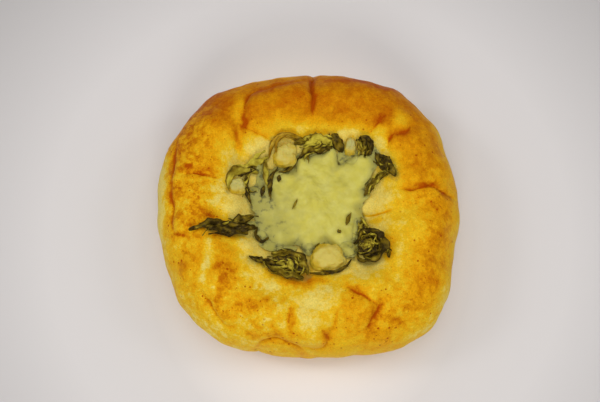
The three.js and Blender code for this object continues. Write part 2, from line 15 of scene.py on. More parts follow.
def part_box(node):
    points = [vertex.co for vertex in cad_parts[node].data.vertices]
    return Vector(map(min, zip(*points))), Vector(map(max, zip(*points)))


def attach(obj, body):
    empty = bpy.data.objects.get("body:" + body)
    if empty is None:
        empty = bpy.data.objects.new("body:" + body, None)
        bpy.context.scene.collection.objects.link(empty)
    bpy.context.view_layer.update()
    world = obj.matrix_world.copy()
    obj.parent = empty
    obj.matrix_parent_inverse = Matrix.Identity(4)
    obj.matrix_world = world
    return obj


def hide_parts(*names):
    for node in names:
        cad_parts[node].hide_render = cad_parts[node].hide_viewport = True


bl_info = {
    "name": "Savoury Bun",
    "version": (1, 0, 0),
    "blender": (4, 5, 0),
    "location": "View3D > Sidebar > Bun",
    "description": "Dresses the packed solids of a filled, baked bun",
    "category": "Object",
}

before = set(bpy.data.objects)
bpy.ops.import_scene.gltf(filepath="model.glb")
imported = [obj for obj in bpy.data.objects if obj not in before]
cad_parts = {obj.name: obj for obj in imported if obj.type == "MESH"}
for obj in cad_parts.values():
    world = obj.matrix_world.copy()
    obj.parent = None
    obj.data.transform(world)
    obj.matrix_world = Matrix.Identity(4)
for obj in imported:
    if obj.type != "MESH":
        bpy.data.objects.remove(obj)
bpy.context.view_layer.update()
BUN_LOW, BUN_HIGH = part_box("bun")

MM = 0.001
BODY = "root"

# Section of the dough, as in the solids: the shares of the outline's radius at which it turns, and
# the powers of its rounds above and below the widest height.
CREST_AT = 0.7
CRATER_FLOOR_AT = 0.2
BASE_AT = 0.8
SHOULDER_POWER = 2.2
UNDERSIDE_POWER = 2.0

# Outline of the dough, as in the solids.
DEPTH_TO_WIDTH = 0.975
CORNER_SWELL = 0.022  # share of the radius that it gains at four corners and loses between them
OUTLINE_TO_HALF_WIDTH = 1.017  # the swells pull the bun's sides in a little

# Swells and pinches of the outline: angle in degrees, reach in mm, spread in degrees.
OUTLINE_SWELLS = (
    (17, -1.2, 9),
    (54, 2.0, 12),
    (88, -0.7, 4),
    (105, -1.6, 10),
    (128, 0.9, 14),
    (160, 1.2, 12),
    (200, -1.4, 8),
    (265, -1.4, 32),
    (314, 4.0, 17),
    (340, -0.9, 12),
)

# Folds: three points of the plan view, depth, width, swell of the left and right lip, and how much
# browner the crease is than the crust beside it.
FOLDS = (
    # back rim
    (((1.8, 52), (1.1, 43), (1.9, 33)), 2.2, 1.1, (1.0, 1.1), 0.35),
    (((-20.5, 42), (-23.8, 34), (-22.5, 27.4)), 1.6, 1.3, (1.0, 0.1), 0.25),
    (((-22.8, 28), (-19, 26), (-13, 23.6)), 0.9, 1.2, (0.6, 0.2), 0.15),
    (((-25, 29), (-26, 24), (-27, 18.4)), 0.8, 1.5, (0, 0.6), 0.1),
    (((-21, 42), (-12, 43.6), (-1, 46)), 0.4, 1.4, (0.1, 0.5), 0.03),
    (((28.8, 19.4), (29.4, 23.6), (32.4, 24.4)), 1.1, 1.1, (0.3, 0.6), 0.3),
    (((32.4, 24.4), (35.8, 25.8), (37.2, 29)), 0.9, 1.1, (0.4, 0.5), 0.25),
    (((22, 25.6), (25, 28.6), (28.4, 32.8)), 1.0, 1.4, (0.5, 0.1), 0.2),
    # left rim
    (((-45, 9.7), (-39, 9.2), (-31.5, 8.4)), 1.6, 1.3, (0.7, 0.4), 0.3),
    (((-48.2, 24), (-49.2, 15), (-49, 6)), 0.9, 2.0, (0.7, -0.1), 0.35),
    (((-49, 6), (-48.8, -3), (-48, -11.4)), 0.9, 2.0, (0.7, -0.1), 0.35),
    (((-48, -11.4), (-45.8, -13.2), (-41.6, -14)), 1.0, 1.5, (0.6, 0.2), 0.35),
    (((-37.1, -33.5), (-33.6, -38.6), (-30.6, -43.4)), 1.3, 1.2, (1.0, 0.5), 0.3),
    (((-31.2, -43.2), (-28, -44.4), (-24.5, -44)), 0.8, 1.2, (0.4, 0.2), 0.15),
    # front rim
    (((-18.2, -50), (-11, -48.7), (-3.2, -51.9)), 1.5, 1.3, (0.9, 0.3), 0.25),
    (((-2, -51.5), (6.5, -50), (3, -45.5)), 1.5, 1.4, (1.0, 0.2), 0.25),
    (((-6.2, -38.5), (-6.8, -42), (-6.4, -46)), 1.0, 1.5, (0.3, 0.3), 0.2),
    (((10, -39), (9.6, -43), (7.6, -47.5)), 1.1, 1.4, (0.4, 0.5), 0.2),
    (((13.2, -31.9), (18, -35), (23.5, -38)), 1.0, 1.2, (0.5, 0.5), 0.2),
    (((25.2, -37), (22.8, -41.6), (20, -46)), 1.2, 1.3, (0.4, 1.0), 0.25),
    (((28, -43), (31, -42.6), (34, -42)), 0.8, 1.3, (0.2, 0.3), 0.15),
    # right rim
    (((19.5, -4.4), (24.4, -4.2), (29.5, -3.6)), 1.4, 1.2, (0.6, 0.6), 0.4),
    (((33, 4.6), (40, 4.3), (46, 7.8)), 1.5, 1.2, (0.8, 0.5), 0.3),
    (((43, 5), (48, 3.8), (53, 2.4)), 1.2, 1.1, (0.6, 0.5), 0.25),
)
FOLD_STEPS = 10  # straight parts of a fold's line
FOLD_END = 0.4  # height of a fold at its ends, as a share of its middle's
LIP_TO_CREASE = 2.6  # how far out the lips are highest, in widths of the fold
CREASE_WIDTH = 0.38  # reach of a visible crease, in widths of the fold
CREASE_DEPTH = 0.65  # depth of a visible crease, as a share of the fold's
CREASE_TINTS = ((1.3, 0.27), (0.25, 1.3))  # shares of a fold's browning, and reach in its widths

# Soft swells between the folds: centre, half sizes, turn in degrees, height.
PILLOWS = (
    # lobes of the rim, from the back round by the left
    ((-9.5, 37), (13, 11), 10, 1.6),
    ((-38, 24), (14, 15), 40, 1.1),
    ((-40, -2), (9, 11), 0, 0.6),
    ((-33, -25), (14, 14), 30, 1.0),
    ((-17, -40), (13, 9), -10, 1.1),
    ((0.5, -45.5), (8, 7.5), 0, 1.5),
    ((14.5, -41.5), (9, 7), 10, 0.9),
    ((42, -17), (13, 20), -12, 1.3),
    ((40, 18), (13, 15), -20, 1.5),
    ((33, 31.5), (5, 6), -40, 0.9),
    ((15, 38), (17, 11), -14, 1.7),
    # swells and a hollow of the crater's wall
    ((29, 0.5), (9, 6), 0, 1.4),
    ((30, -9), (5, 4), 0, 0.9),
    ((21, -30), (11, 7), 20, 1.3),
    ((-22, -16), (7, 4), -20, 1.2),
    ((-27.5, -1.2), (7, 6), 0, 1.6),
    ((-20, 22), (8, 6), 25, 0.9),
    ((-14, -31), (14, 8), -20, -0.5),
)

# Slow unevenness of the crust, as in the solids: wavelength, heading in degrees, phase, height.
CRUST_WAVES = ((27, 20, 0.4, 0.35), (19, 105, 1.9, 0.3), (13, 62, 3.1, 0.2), (10, 150, 5.0, 0.15))
DOUGH_SKIN = ((0.22, 7), (0.1, 2.4))  # height and size of its fine unevenness, in mm
WANDER, WANDER_SIZE = 0.9, 6  # mm, how far folds and patches stray, and the noise's size
FRAY, FRAY_SIZE = 0.9, 2.2  # the same for the edges of the brown patches
WANDER_SHIFTS, FRAY_SHIFTS = (0, 50), (90, 180)  # of the noise for x and for y

# How brown the rim is all round, from 0 pale to 1 deep brown: angle, amount over the least, spread.
RIM_BROWNING = 0.4
RIM_BROWNS_FROM, RIM_BROWNS_OVER = 0.42, 0.3  # where it sets in, in shares of the outline's radius
RIM_BROWNING_SWELLS = (
    (90, 0.36, 44),
    (138, 0.16, 26),
    (42, 0.22, 26),
    (0, 0.12, 28),
    (322, 0.12, 22),
    (270, -0.12, 30),
    (190, -0.04, 20),
)

# The same for what the strip beside the outline adds to that.
EDGE_BROWNS_FROM, EDGE_BROWNS_OVER = 0.9, 0.08
EDGE_BROWNING_SWELLS = (
    (137, 0.3, 16),
    (60, 0.12, 10),
    (84, -0.12, 12),
    (103, -0.4, 10),
    (174, -0.35, 22),
    (30, -0.35, 14),
    (354, -0.28, 16),
    (318, -0.3, 16),
    (228, -0.2, 20),
)

# Patches baked more or less than the rest, one of them partly painted shade: centre, half sizes,
# turn in degrees, amount.
BROWN_PATCHES = (
    # back
    ((1.6, 41), (1.0, 8), 0, 0.2),
    ((-14, 43), (9.5, 2), 14, 0.18),
    ((19, 46), (15, 2), -6, 0.2),
    ((-16, 30), (5, 2), -15, 0.12),
    ((-23, 32), (1.5, 8), -10, 0.12),
    ((-18, 26), (4.5, 1.5), -20, 0.12),
    ((25, 30), (4.5, 2), 25, 0.2),
    ((-1, 26), (13, 1.8), 0, 0.3),
    ((27, 17), (5, 2), -50, 0.15),
    # Partly painted shade: darkens the crater's back wall.
    ((6, 32), (13, 3.4), 0, 0.17),
    ((-6, 27.6), (5, 2), 0, -0.1),
    ((14, 26.4), (4, 1.6), 0, -0.25),
    # back left
    ((-25.9, 23.4), (1.4, 5.5), 8, 0.3),
    ((-23.2, 28.6), (1.2, 3), 10, 0.3),
    ((-32, 38), (6, 4), 0, 0.15),
    ((-35, 32), (4.5, 3), 0, 0.12),
    ((-45, 31), (3.5, 5.5), -45, 0.15),
    ((-40, 19), (4.5, 4.5), 0, 0.1),
    ((-25.6, 33), (2.2, 8), -4, -0.22),
    ((-30.5, 20), (3, 7), 10, -0.2),
    ((-18.6, 21.6), (5.6, 3), 15, -0.08),
    ((-43.6, 12), (4, 1.6), 0, 0.3),
    ((-41.8, 5), (4.5, 6), 0, 0.07),
    ((-38, 10.4), (6, 1.4), 0, 0.15),
    # back right
    ((33, 30), (3, 4.6), 0, -0.34),
    ((25.2, 22.6), (3, 6), -12, -0.34),
    ((29.6, 22), (1.2, 3.6), 0, 0.2),
    ((34, 24.8), (3.5, 1.2), 25, 0.2),
    ((29, 16), (3.2, 7), 15, -0.3),
    ((40, 13), (3.5, 5.5), 0, 0.08),
    # right
    ((41, 5), (5.5, 1.2), 5, 0.3),
    ((48, 3), (4.5, 1), -30, 0.2),
    ((47, -5), (3.5, 10), 0, 0.1),
    ((41, -20), (5, 8.5), 0, 0.08),
    ((41, -31), (6, 3), 40, 0.15),
    ((47, -32), (3, 6), -25, -0.2),
    ((36, -12), (5, 12), 0, -0.2),
    ((27.5, -17), (2.5, 5), 0, 0.25),
    ((23, -7), (4, 1.5), 0, 0.2),
    ((32, -23), (2, 10), 0, -0.15),
    ((29, -31), (1.5, 5.5), -25, -0.1),
    # front right
    ((26, -28), (9, 7), 0, -0.15),
    ((17, -34), (6, 1.5), -30, 0.1),
    ((15, -39.4), (6, 7), 0, 0.24),
    ((16, -33.4), (6, 1.2), -33, 0.2),
    ((22.6, -41.6), (2, 7), -22, 0.32),
    ((30, -43), (3.5, 1.5), 0, 0.3),
    ((21, -48), (9.5, 4), 0, 0.12),
    # front
    ((6, -48), (2, 2), -40, 0.3),
    ((9, -45), (1, 4), -15, 0.15),
    ((-11, -49), (8, 1.5), 5, 0.15),
    ((-4, -52), (4.5, 1), -30, 0.2),
    ((-6, -42.6), (1.1, 4), 0, 0.35),
    ((-11, -26.4), (8, 2.5), -35, 0.35),
    ((-4, -31), (7, 1.6), -12, 0.25),
    ((1, -29), (8, 2.2), 0, 0.45),
    ((-2, -26), (7, 3), 0, 0.2),
    ((0, -28), (2, 2), 0, 0.2),
    ((13, -28), (1.5, 1.5), 0, 0.2),
    ((-8, -33), (3.5, 2), 0, 0.15),
    ((6, -37), (8, 6), 0, -0.2),
    ((-2, -36), (5, 9), 0, -0.1),
    ((0.4, -42.5), (4, 6), 0, -0.09),
    ((-13, -33.6), (8, 4), 10, -0.2),
    # front left
    ((-19.5, -37.4), (6, 1.8), 6, 0.32),
    ((-15, -37.6), (2, 2.6), -30, 0.2),
    ((-28.4, -25.5), (5.8, 6.4), 0, 0.27),
    ((-31.6, -22.6), (2.4, 3), 0, 0.15),
    ((-27, -28.4), (2.6, 2.2), 0, 0.12),
    ((-22.4, -29), (2.6, 3), 0, -0.2),
    ((-33.4, -31), (1.8, 3), 10, -0.22),
    ((-28.2, -17.5), (4.5, 3), 0, 0.22),
    ((-29.6, -30.6), (2.4, 2.4), 0, 0.15),
    ((-30, -33.3), (2, 2.2), 0, 0.3),
    ((-31.7, -37.2), (1.3, 2.6), 0, 0.3),
    ((-28, -40), (4, 3), 0, 0.15),
    ((-36, -24), (2.0, 9), -6, -0.26),
    ((-23, -23), (4.5, 3), -20, -0.1),
    ((-20.2, -46.9), (2.4, 1), 0, 0.25),
    ((-18, -43.6), (1.2, 2), 0, 0.25),
    ((-11.2, -46.6), (2.4, 1.2), 0, 0.26),
    ((-14.6, -44), (1.8, 1.8), 0, -0.15),
    # left
    ((-41.5, -21.5), (3.6, 6.5), 0, 0.22),
    ((-45, -26), (3, 6), 0, 0.1),
    ((-43, -2), (5, 9.5), 0, 0.1),
    ((-38.4, -1), (1.6, 7), 0, 0.16),
    ((-49, 0), (1, 13.5), 0, 0.15),
    ((-50, 15), (1.5, 5.5), -20, 0.3),
    ((-45.6, 5.6), (3, 1.6), 20, 0.2),
    ((-45, -13), (3.5, 1), 0, 0.25),
    ((-53, 7), (2, 19.5), 0, -0.2),
    ((-36, -8), (7, 2.5), 5, 0.3),
    ((-36, -5.4), (5, 1.6), 0, 0.2),
    ((-34, 0), (5, 3), 0, -0.12),
    ((-30, -13), (8, 1.2), 0, 0.3),
)

# Where the browning breaks up into mottles: centre, half sizes, turn in degrees, amount.
MOTTLED_PATCHES = (
    ((-42, 0), (11, 18), 0, 0.75),
    ((-35, -33), (16, 14), 0, 0.4),
    ((-14, -43), (16, 10), 0, 0.4),
    ((-44, 28), (9, 12), 0, 0.5),
    ((28, -40), (20, 10), 0, 0.4),
    ((44, -10), (10, 24), 0, 0.3),
)
LEAST_MOTTLE = 0.32
PATCH_EDGE = 1.7  # how sharply a patch ends

# Browning of the side, and what its paler band half way down and its foot add to it.
SIDE_BROWNING, SIDE_BAND, FOOT_BROWNING = 0.42, -0.2, 0.1
SIDE_SETS_IN = 2.5  # how fast the side's browning takes over from the rim's, downwards

# The pool of cheese, in mm.
CHEESE_CENTRE = (1.5, 1.8)
CHEESE_RADIUS = 17.3
CHEESE_BED_GAP = 0.5
CHEESE_EDGE = 1.6  # thickness of the lobes
CHEESE_DOME = 16  # how far the thick middle reaches
CHEESE_FEATHER = 9  # over which the edge thickens
CHEESE_FEATHER_POWER = 3
CHEESE_WAVES = ((12, 35, 0.8, 0.4), (8, 120, 2.2, 0.25))  # as the crust's
CHEESE_LUMPS = ((0.8, 5, 0), (0.2, 1.6, 40))  # height, size, offset of the noise
CHEESE_UNEVENNESS = 0.2  # share of the thickness that the waves and lumps change
CHEESE_RIPPLES = ((0.5, 11, 0), (0.4, 17, 1))  # of the outline: height, how many round, phase
CHEESE_RAGS = ((1.7, 3.2), (0.8, 1.2))  # of the outline: height, size

# Lobes of its outline: angle in degrees, reach in mm, spread in degrees.
CHEESE_LOBES = (
    (18, 1.6, 8),
    (34, 9.4, 14),
    (68, 3.2, 8),
    (126, -3.2, 15),
    (151, 4.4, 12),
    (175, 2.6, 12),
    (190, 4.8, 24),
    (214, 5, 9),
    (231, 4.2, 13),
    (264, 3.2, 7),
    (285, 0.2, 8),
    (303, 9, 9),
    (321, 4.2, 10),
    (337, 1.6, 8),
    (358, 1.4, 9),
)

# Blobs and wisps on and about the pool: centre, half sizes, turn in degrees.
CHEESE_BLOBS = (
    ((15.6, 17.8), (2.4, 3.2, 1.5), -10),
    ((24, 17.6), (1.8, 3.2, 1.2), 20),
    ((16.8, -9.6), (1.4, 4.6, 1.5), -6),
    ((13.8, -17.4), (4.4, 3, 3.4), 20),
    ((-16.8, -12.4), (2.6, 1.9, 1.4), 0),
    ((-20, -8.2), (2.4, 1.5, 1.1), 20),
    ((-14.4, -15.4), (3.4, 2.2, 1.1), -20),
    ((-7.8, -16.8), (3.6, 1.8, 1.0), 5),
    ((0.6, -17), (2.8, 2.2, 1.1), 0),
    ((-17.6, 9), (1.6, 3, 0.9), 0),
    ((-11.5, 12.4), (3.2, 2.2, 1.2), 30),
    ((-18.0, 14.4), (1.7, 2.6, 2.6), -20),
    ((12.4, 18.2), (1.8, 3, 1.3), 0),
)

# Where the greens show through the cheese: centre, half sizes, turn in degrees, amount.
THIN_PATCHES = (
    ((-19.5, 4), (3, 6), 0, 1.0),
    ((-16.5, 0), (4, 3), 20, 0.7),
    ((-17, -9), (4, 3), 0, 0.8),
    ((17.3, -7.6), (2.5, 6), 10, 0.6),
    ((14.6, -17.3), (4, 3), 0, 0.9),
    ((-2, -16.8), (4, 2), -10, 0.6),
    ((14, 17), (3, 4), 0, 0.7),
    ((-8, 12), (5, 2), 30, 0.4),
    ((24, 17), (2, 4), 0, 0.4),
    ((-11, -4), (6, 9), 15, 0.6),
    ((-9, -9.5), (6, 4), -10, 0.35),
    ((-15.5, 6), (3.4, 7), 0, 0.42),
)
THIN_EDGE, THIN_EDGE_WIDTH = 0.8, 4  # amount along the pool's outline, and how many mm it reaches in

# Lumps: CAD node, centre, half sizes, turn in degrees, how sallow.
LUMPS = (
    ("lump_back", (-8.5, 18.4), (4.4, 4.6, 3.8), 0, 0.25),
    ("lump_back_right", (15.1, 21.2), (2.2, 3.3, 3.2), 0, 0.9),
    ("lump_front", (7, -20.3), (6.4, 5.3, 3.4), 4, 0.15),
    ("lump_left", (-25.9, 5.8), (3.2, 3.1, 2.4), 0, 0.7),
)

LUMP_SQUARENESS = 2.8  # 2 is round
LUMP_TAPER = 0.14  # how much narrower a lump is at its back than at its middle
LUMP_SEAT = 0.15  # height of a lump's middle over the dough, as a share of its half height
LUMP_SIZE = 0.95  # share of the half sizes, before its dents
LUMP_DENTS = ((0.16, 0.9), (0.07, 0.35))  # depth and size, as shares of the half sizes

# Bundles of greens: CAD node, core (centre, half sizes, turn), number of thin strands, then each
# leaf's path, width, roll in degrees, ruffles along it and tone (0 near black, 1 yellow green).
GREENS = (
    ("greens_left", ((-28, -10.6), (6.5, 1.8, 1.5), 2), 5, (
        (((-42.4, -11.8), (-39.4, -10.8), (-36.2, -9.6), (-33, -9), (-28.6, -9.4), (-23, -9.8),
          (-18.4, -9.4)), 3.0, 15, 3, 0.1),
        (((-36.4, -10.8), (-32.6, -11.2), (-28, -11.8), (-21.6, -11.6)), 3.8, -20, 2, 0.05),
        (((-28, -9.2), (-25, -7.4), (-22.4, -6.4), (-19.8, -5)), 3.4, 15, 2, 0.15),
    )),
    ("greens_upper_left", ((-23.4, 11.4), (4, 1.4, 1.2), 20), 6, (
        (((-28.8, 3.6), (-28.4, 8), (-26.2, 10.8), (-23, 11.8), (-18.2, 11.6)), 3.2, 35, 2, 0.55),
        (((-25, 12), (-21, 14.2), (-17.6, 15.8), (-14.6, 17.6)), 2.8, -15, 2, 0.7),
        (((-22, 11), (-22.5, 4.6), (-20.8, 0)), 2.2, 30, 2, 0.0),
    )),
    ("stalk_back_left", ((-3.6, 24), (1.8, 0.9, 0.9), 0), 2, (
        (((-14.6, 17.4), (-13.4, 21.6), (-10.8, 24.8), (-7, 25.2), (-2.4, 23.8)), 1.8, 35, 1, 0.4),
    )),
    ("greens_back", ((4.4, 22.2), (4.4, 1.4, 1.2), 0), 10, (
        (((-1.8, 21.4), (0.4, 22.6), (2.8, 23.4), (5.6, 23.4), (9, 22)), 3.8, 20, 2, 0.8),
        (((-4, 16.8), (-0.6, 19.8), (4.6, 20.4), (8.6, 20.8)), 3.0, -20, 3, 0.2),
        (((8.2, 25.4), (10.4, 23), (12.4, 19.4)), 4.4, 10, 1, 0.1),
        (((-5.4, 22.4), (-2.6, 23), (0.8, 24.4), (4.4, 25)), 2.2, 30, 2, 0.45),
    )),
    ("greens_back_right", ((21, 21.6), (1.8, 1.6, 1.2), -40), 6, (
        (((18.2, 23.6), (20.6, 22.8), (22.2, 20.2), (21.4, 17.2)), 3.6, 15, 2, 0.0),
        (((18.4, 22.6), (18.8, 20.2), (19.9, 17.8)), 2.4, -25, 1, 0.5),
    )),
    ("greens_right", ((27.4, 13.2), (3, 2, 1.4), -55), 10, (
        (((23.8, 17.6), (26.6, 14.8), (29.4, 11.4), (31, 8.4)), 4.2, 10, 3, 0.1),
        (((29.4, 10.4), (25.6, 9.4), (22.8, 6.6), (19.8, 2.6)), 2.8, -15, 2, 0.2),
    )),
    ("greens_front", ((-7.8, -24), (5.6, 3.4, 1.6), -22), 18, (
        (((-21.2, -20.6), (-17.6, -22), (-14, -22.6), (-10, -22.4)), 2.6, -10, 3, 0.1),
        (((-13.4, -19), (-8.4, -18.6), (-3.8, -20.4), (-1.6, -23.6), (-0.4, -27)), 4.2, 25, 3, 0.25),
        (((-15.4, -23.8), (-11.4, -25.8), (-6.8, -27.4), (-1.8, -28.6)), 3.6, -20, 3, 0.35),
        (((-11.6, -23.2), (-7.6, -22.8), (-4.2, -26.2)), 3.8, 10, 2, 0.75),
    )),
    ("shred_front", ((6, -26.2), (1.8, 0.7, 0.7), 0), 0, (
        (((0.2, -26.4), (4, -26.6), (9.6, -26), (13, -24), (15, -21.2)), 1.5, 10, 3, 0.1),
    )),
    ("greens_curl", ((21.7, -17), (4.2, 4, 1.4), 0), 26, (
        (((15.6, -15.6), (17.8, -13.4), (19.2, -10.8), (22.2, -11.2), (25, -12.8), (26.3, -15.8),
          (25.9, -19), (23.3, -21.6), (19.9, -22.4), (17.3, -21), (17.1, -18.6)), 3.6, 45, 6, 0.1),
        (((19.2, -16.8), (21.2, -15.8), (22.8, -17)), 3, 20, 1, 0.6),
        (((20, -12), (18.8, -9), (19.4, -5.8)), 2.2, 15, 1, 0.2),
        (((26, -16.6), (27.6, -18.6), (28.2, -21.4)), 1.6, 0, 1, 0.2),
    )),
)

# Shreds in the top of the cheese: path, width, roll, ruffles, tone.
CHEESE_SHREDS = (
    (((15.1, -3.6), (14.1, -6), (13.3, -8.3)), 1.6, 0, 1, 0.3),
    (((10.1, -10.3), (11.4, -11.2)), 1.4, 0, 1, 0.2),
    (((-16.3, 7.2), (-17, 2.4)), 1.7, 0, 1, 0.0),
    (((-11.2, 14.4), (-13.4, 10.6), (-14.2, 6.8), (-13.7, 1.2)), 1.9, 20, 1, 0.15),
    (((-15.9, 17), (-15.5, 11), (-15.1, 7)), 2.4, -20, 1, 0.6),
    (((-10.9, 10.9), (-10.8, 8.4)), 1.5, 0, 1, 0.1),
    (((1.2, -21), (1.6, -17.4), (3.8, -14.4)), 1.0, 0, 1, 0.4),
    (((-11, 12.2), (-8.6, 12.8), (-6.2, 14.6), (-3.6, 17.4)), 1.5, 10, 2, 0.2),
    (((-4.2, 1.4), (-4.9, -0.6), (-6, -2.6)), 0.8, 0, 1, 0.55),
    (((-18.4, -9), (-18.9, -12), (-16.7, -14.2), (-14.3, -12.6)), 1.5, 0, 2, 0.1),
)

CLEARANCE = 0.3  # mm, between the greens and what they lie on
RUFFLE_HEIGHT = 0.5  # mm, half of what a leaf's ruffles lift it
TILT_SWING = 18  # degrees, how far a leaf's roll swings along it
SHRED_SINK = 0.7  # mm, how deep the shreds lie in the cheese


# Sizes and colours that a user would change.


def size_setting(name, description, default):
    """A size, in metres."""
    return FloatProperty(name=name, description=description, default=default, unit="LENGTH")


def colour_setting(name, description, default):
    """A linear colour."""
    return FloatVectorProperty(
        name=name, description=description, default=default, subtype="COLOR", min=0, max=1)


def lamp_setting(name, description, default):
    """The power of a lamp, in watts."""
    return FloatProperty(name=name, description=description, default=default, unit="POWER")


class DoughSettings(bpy.types.PropertyGroup):
    """Sizes and colours of the dough ring."""

    radius: size_setting(
        "Radius", "Radius of the bun before its swells and pinches",
        (BUN_HIGH.x - BUN_LOW.x) / 2 * OUTLINE_TO_HALF_WIDTH)
    crest_height: size_setting(
        "Crest height", "Height of the rim's crest before its relief", 32 * MM)
    crater_depth: size_setting(
        "Crater depth", "Depth of the crater's floor below the crest", 8.5 * MM)
    widest_height: size_setting(
        "Widest height", "Height above the base at which the bun is widest", 13 * MM)
    sides: IntProperty(name="Sides", description="Divisions round the bun", default=520, min=60)
    pale: colour_setting("Pale", "Soft dough that hardly browned", (0.79, 0.61, 0.125))
    yellow: colour_setting("Yellow", "Lightly baked crust", (0.77, 0.48, 0.015))
    golden: colour_setting("Golden", "Well baked crust", (0.73, 0.34, 0.004))
    brown: colour_setting("Brown", "Browned crust", (0.57, 0.2, 0.002))
    deep: colour_setting("Deep brown", "Creases and darkest spots", (0.42, 0.075, 0.001))
    # Partly painted shade: besides the stain of cheese and greens, this colour paints the shade in
    # the gaps round the cheese and under the leaves.
    wet: colour_setting("Wet", "Dough stained by the cheese and greens on it", (0.27, 0.22, 0.05))


class FillingSettings(bpy.types.PropertyGroup):
    """Sizes and colours of what fills the crater."""

    cheese_thickness: size_setting(
        "Cheese thickness", "Thickness at the middle of the pool", 4.6 * MM)
    leaf_thickness: size_setting("Leaf thickness", "Thickness of a wet leaf", 0.4 * MM)
    cheese: colour_setting("Cheese", "Thick melted cheese", (0.60, 0.53, 0.085))
    milky_cheese: colour_setting("Milky cheese", "Lightest melted cheese", (0.67, 0.62, 0.17))
    thin_cheese: colour_setting(
        "Thin cheese", "Cheese that the greens show through", (0.375, 0.342, 0.085))
    greens_through_cheese: colour_setting(
        "Greens through cheese", "Darkest spots of thin cheese", (0.11, 0.11, 0.045))
    lump: colour_setting("Lump", "Soft filling", (0.66, 0.52, 0.095))
    lump_sallow: colour_setting(
        "Sallow lump", "Soft filling stained by the greens", (0.48, 0.45, 0.15))
    # Partly painted shade, where a lump meets the dough.
    lump_foot: colour_setting(
        "Lump's foot", "Soft filling where it meets the rest", (0.56, 0.38, 0.02))
    leaf_dark: colour_setting("Dark leaf", "Darkest leaf", (0.034, 0.021, 0.0035))
    leaf_olive: colour_setting("Olive leaf", "Brownish leaf", (0.21, 0.14, 0.008))
    leaf_light: colour_setting("Light leaf", "Yellow green leaf", (0.56, 0.46, 0.045))
    stalk_dark: colour_setting("Dark stalk", "Edges of a stalk", (0.12, 0.06, 0.004))
    stalk: colour_setting("Stalk", "Brownish stalk", (0.38, 0.21, 0.008))
    stalk_light: colour_setting("Light stalk", "Lightest part of a stalk", (0.56, 0.38, 0.04))


class StageSettings(bpy.types.PropertyGroup):
    """Floor, light and camera."""

    floor: colour_setting("Floor", "Colour of the floor", (0.71, 0.68, 0.67))
    fill_colour: colour_setting(
        "Fill colour", "Colour of the light from all round", (1, 0.985, 0.98))
    fill: FloatProperty(
        name="Fill", description="Strength of the light from all round", default=0.3, min=0)
    overhead_lamp: lamp_setting("Overhead lamp", "Power of the wide lamp above", 7.2)
    left_lamp: lamp_setting("Left lamp", "Power of the small lamp at the left", 1.8)
    right_lamp: lamp_setting("Right lamp", "Power of the small lamp at the right", 1.2)
    front_lamp: lamp_setting("Front lamp", "Power of the lamp at the front", 4.2)
    lens: FloatProperty(name="Lens", description="Focal length", default=70, unit="CAMERA")
    elevation: FloatProperty(
        name="Elevation", description="How steeply the camera looks down",
        default=math.radians(72), subtype="ANGLE")
    distance: size_setting("Distance", "From the camera to its aim", 434 * MM)


# Helpers of the form.

LINE_STEPS = 12  # points of a soft curve between two of its path's
HEADING_STEP = 0.01  # share of a line over which its heading is taken
NOISE_FALL, NOISE_GAP = 1.0, 2.0  # from octave to octave: power of the height, ratio of the size


def bells(angle, swells):
    """Sum of bell-shaped swells round a circle, at angles in radians."""
    total = np.zeros_like(angle)
    for at, reach, spread in swells:
        turn = angle - math.radians(at)
        off = np.degrees(np.arctan2(np.sin(turn), np.cos(turn)))
        total += reach * np.exp(-((off / spread) ** 2))
    return total


def waves(x, y, table):
    """Sum of straight waves over the plan."""
    total = np.zeros_like(x)
    for length, heading, phase, height in table:
        along = x * math.cos(math.radians(heading)) + y * math.sin(math.radians(heading))
        total += height * np.sin(2 * math.pi * along / length + phase)
    return total


def smooth(t):
    """Eases t from 0 to 1, held at both ends."""
    t = np.clip(t, 0, 1)
    return t * t * (3 - 2 * t)


def turned(x, y, degrees):
    """Places turned round the origin, anticlockwise from above."""
    c, s = math.cos(math.radians(degrees)), math.sin(math.radians(degrees))
    return x * c - y * s, x * s + y * c


def in_patch(x, y, centre, half_sizes, turn):
    """Squared distance from a patch's centre, as a share of its half sizes."""
    across, deep = turned(x - centre[0], y - centre[1], -turn)
    return (across / half_sizes[0]) ** 2 + (deep / half_sizes[1]) ** 2


def on_plan(x, y):
    """Points of the plan view, for noise."""
    return np.stack([x, y, np.zeros_like(x)], 1)


def rough(points, size, octaves=2, offset=0):
    """Soft noise of about -1 to 1 at points in mm, with lumps of the given size.

    An offset moves the noise, so that two of a size differ.
    """
    return np.array([
        noise.fractal(Vector(p) / size, NOISE_FALL, NOISE_GAP, octaves) for p in points + offset])


def unevenness(points, layers, offset=0):
    """Sum of soft noises, given as the height and the size of each."""
    return sum(height * rough(points, size, offset=offset) for height, size in layers)


def stray(x, y, reach, size, shifts):
    """How far places stray in x and in y, by noise."""
    return [reach * rough(on_plan(x, y), size, offset=shift) for shift in shifts]


def wander(x, y):
    """Places moved a little, so that what is drawn by lines and patches wanders."""
    off_x, off_y = stray(x, y, WANDER, WANDER_SIZE, WANDER_SHIFTS)
    return x + off_x, y + off_y


def quadratic(path):
    """Points of the quadratic curve that passes through the middle point of path."""
    start, middle, end = np.array(path, float)
    bend = 2 * middle - (start + end) / 2
    t = np.linspace(0, 1, FOLD_STEPS + 1)[:, None]
    return (1 - t) ** 2 * start + 2 * t * (1 - t) * bend + t * t * end


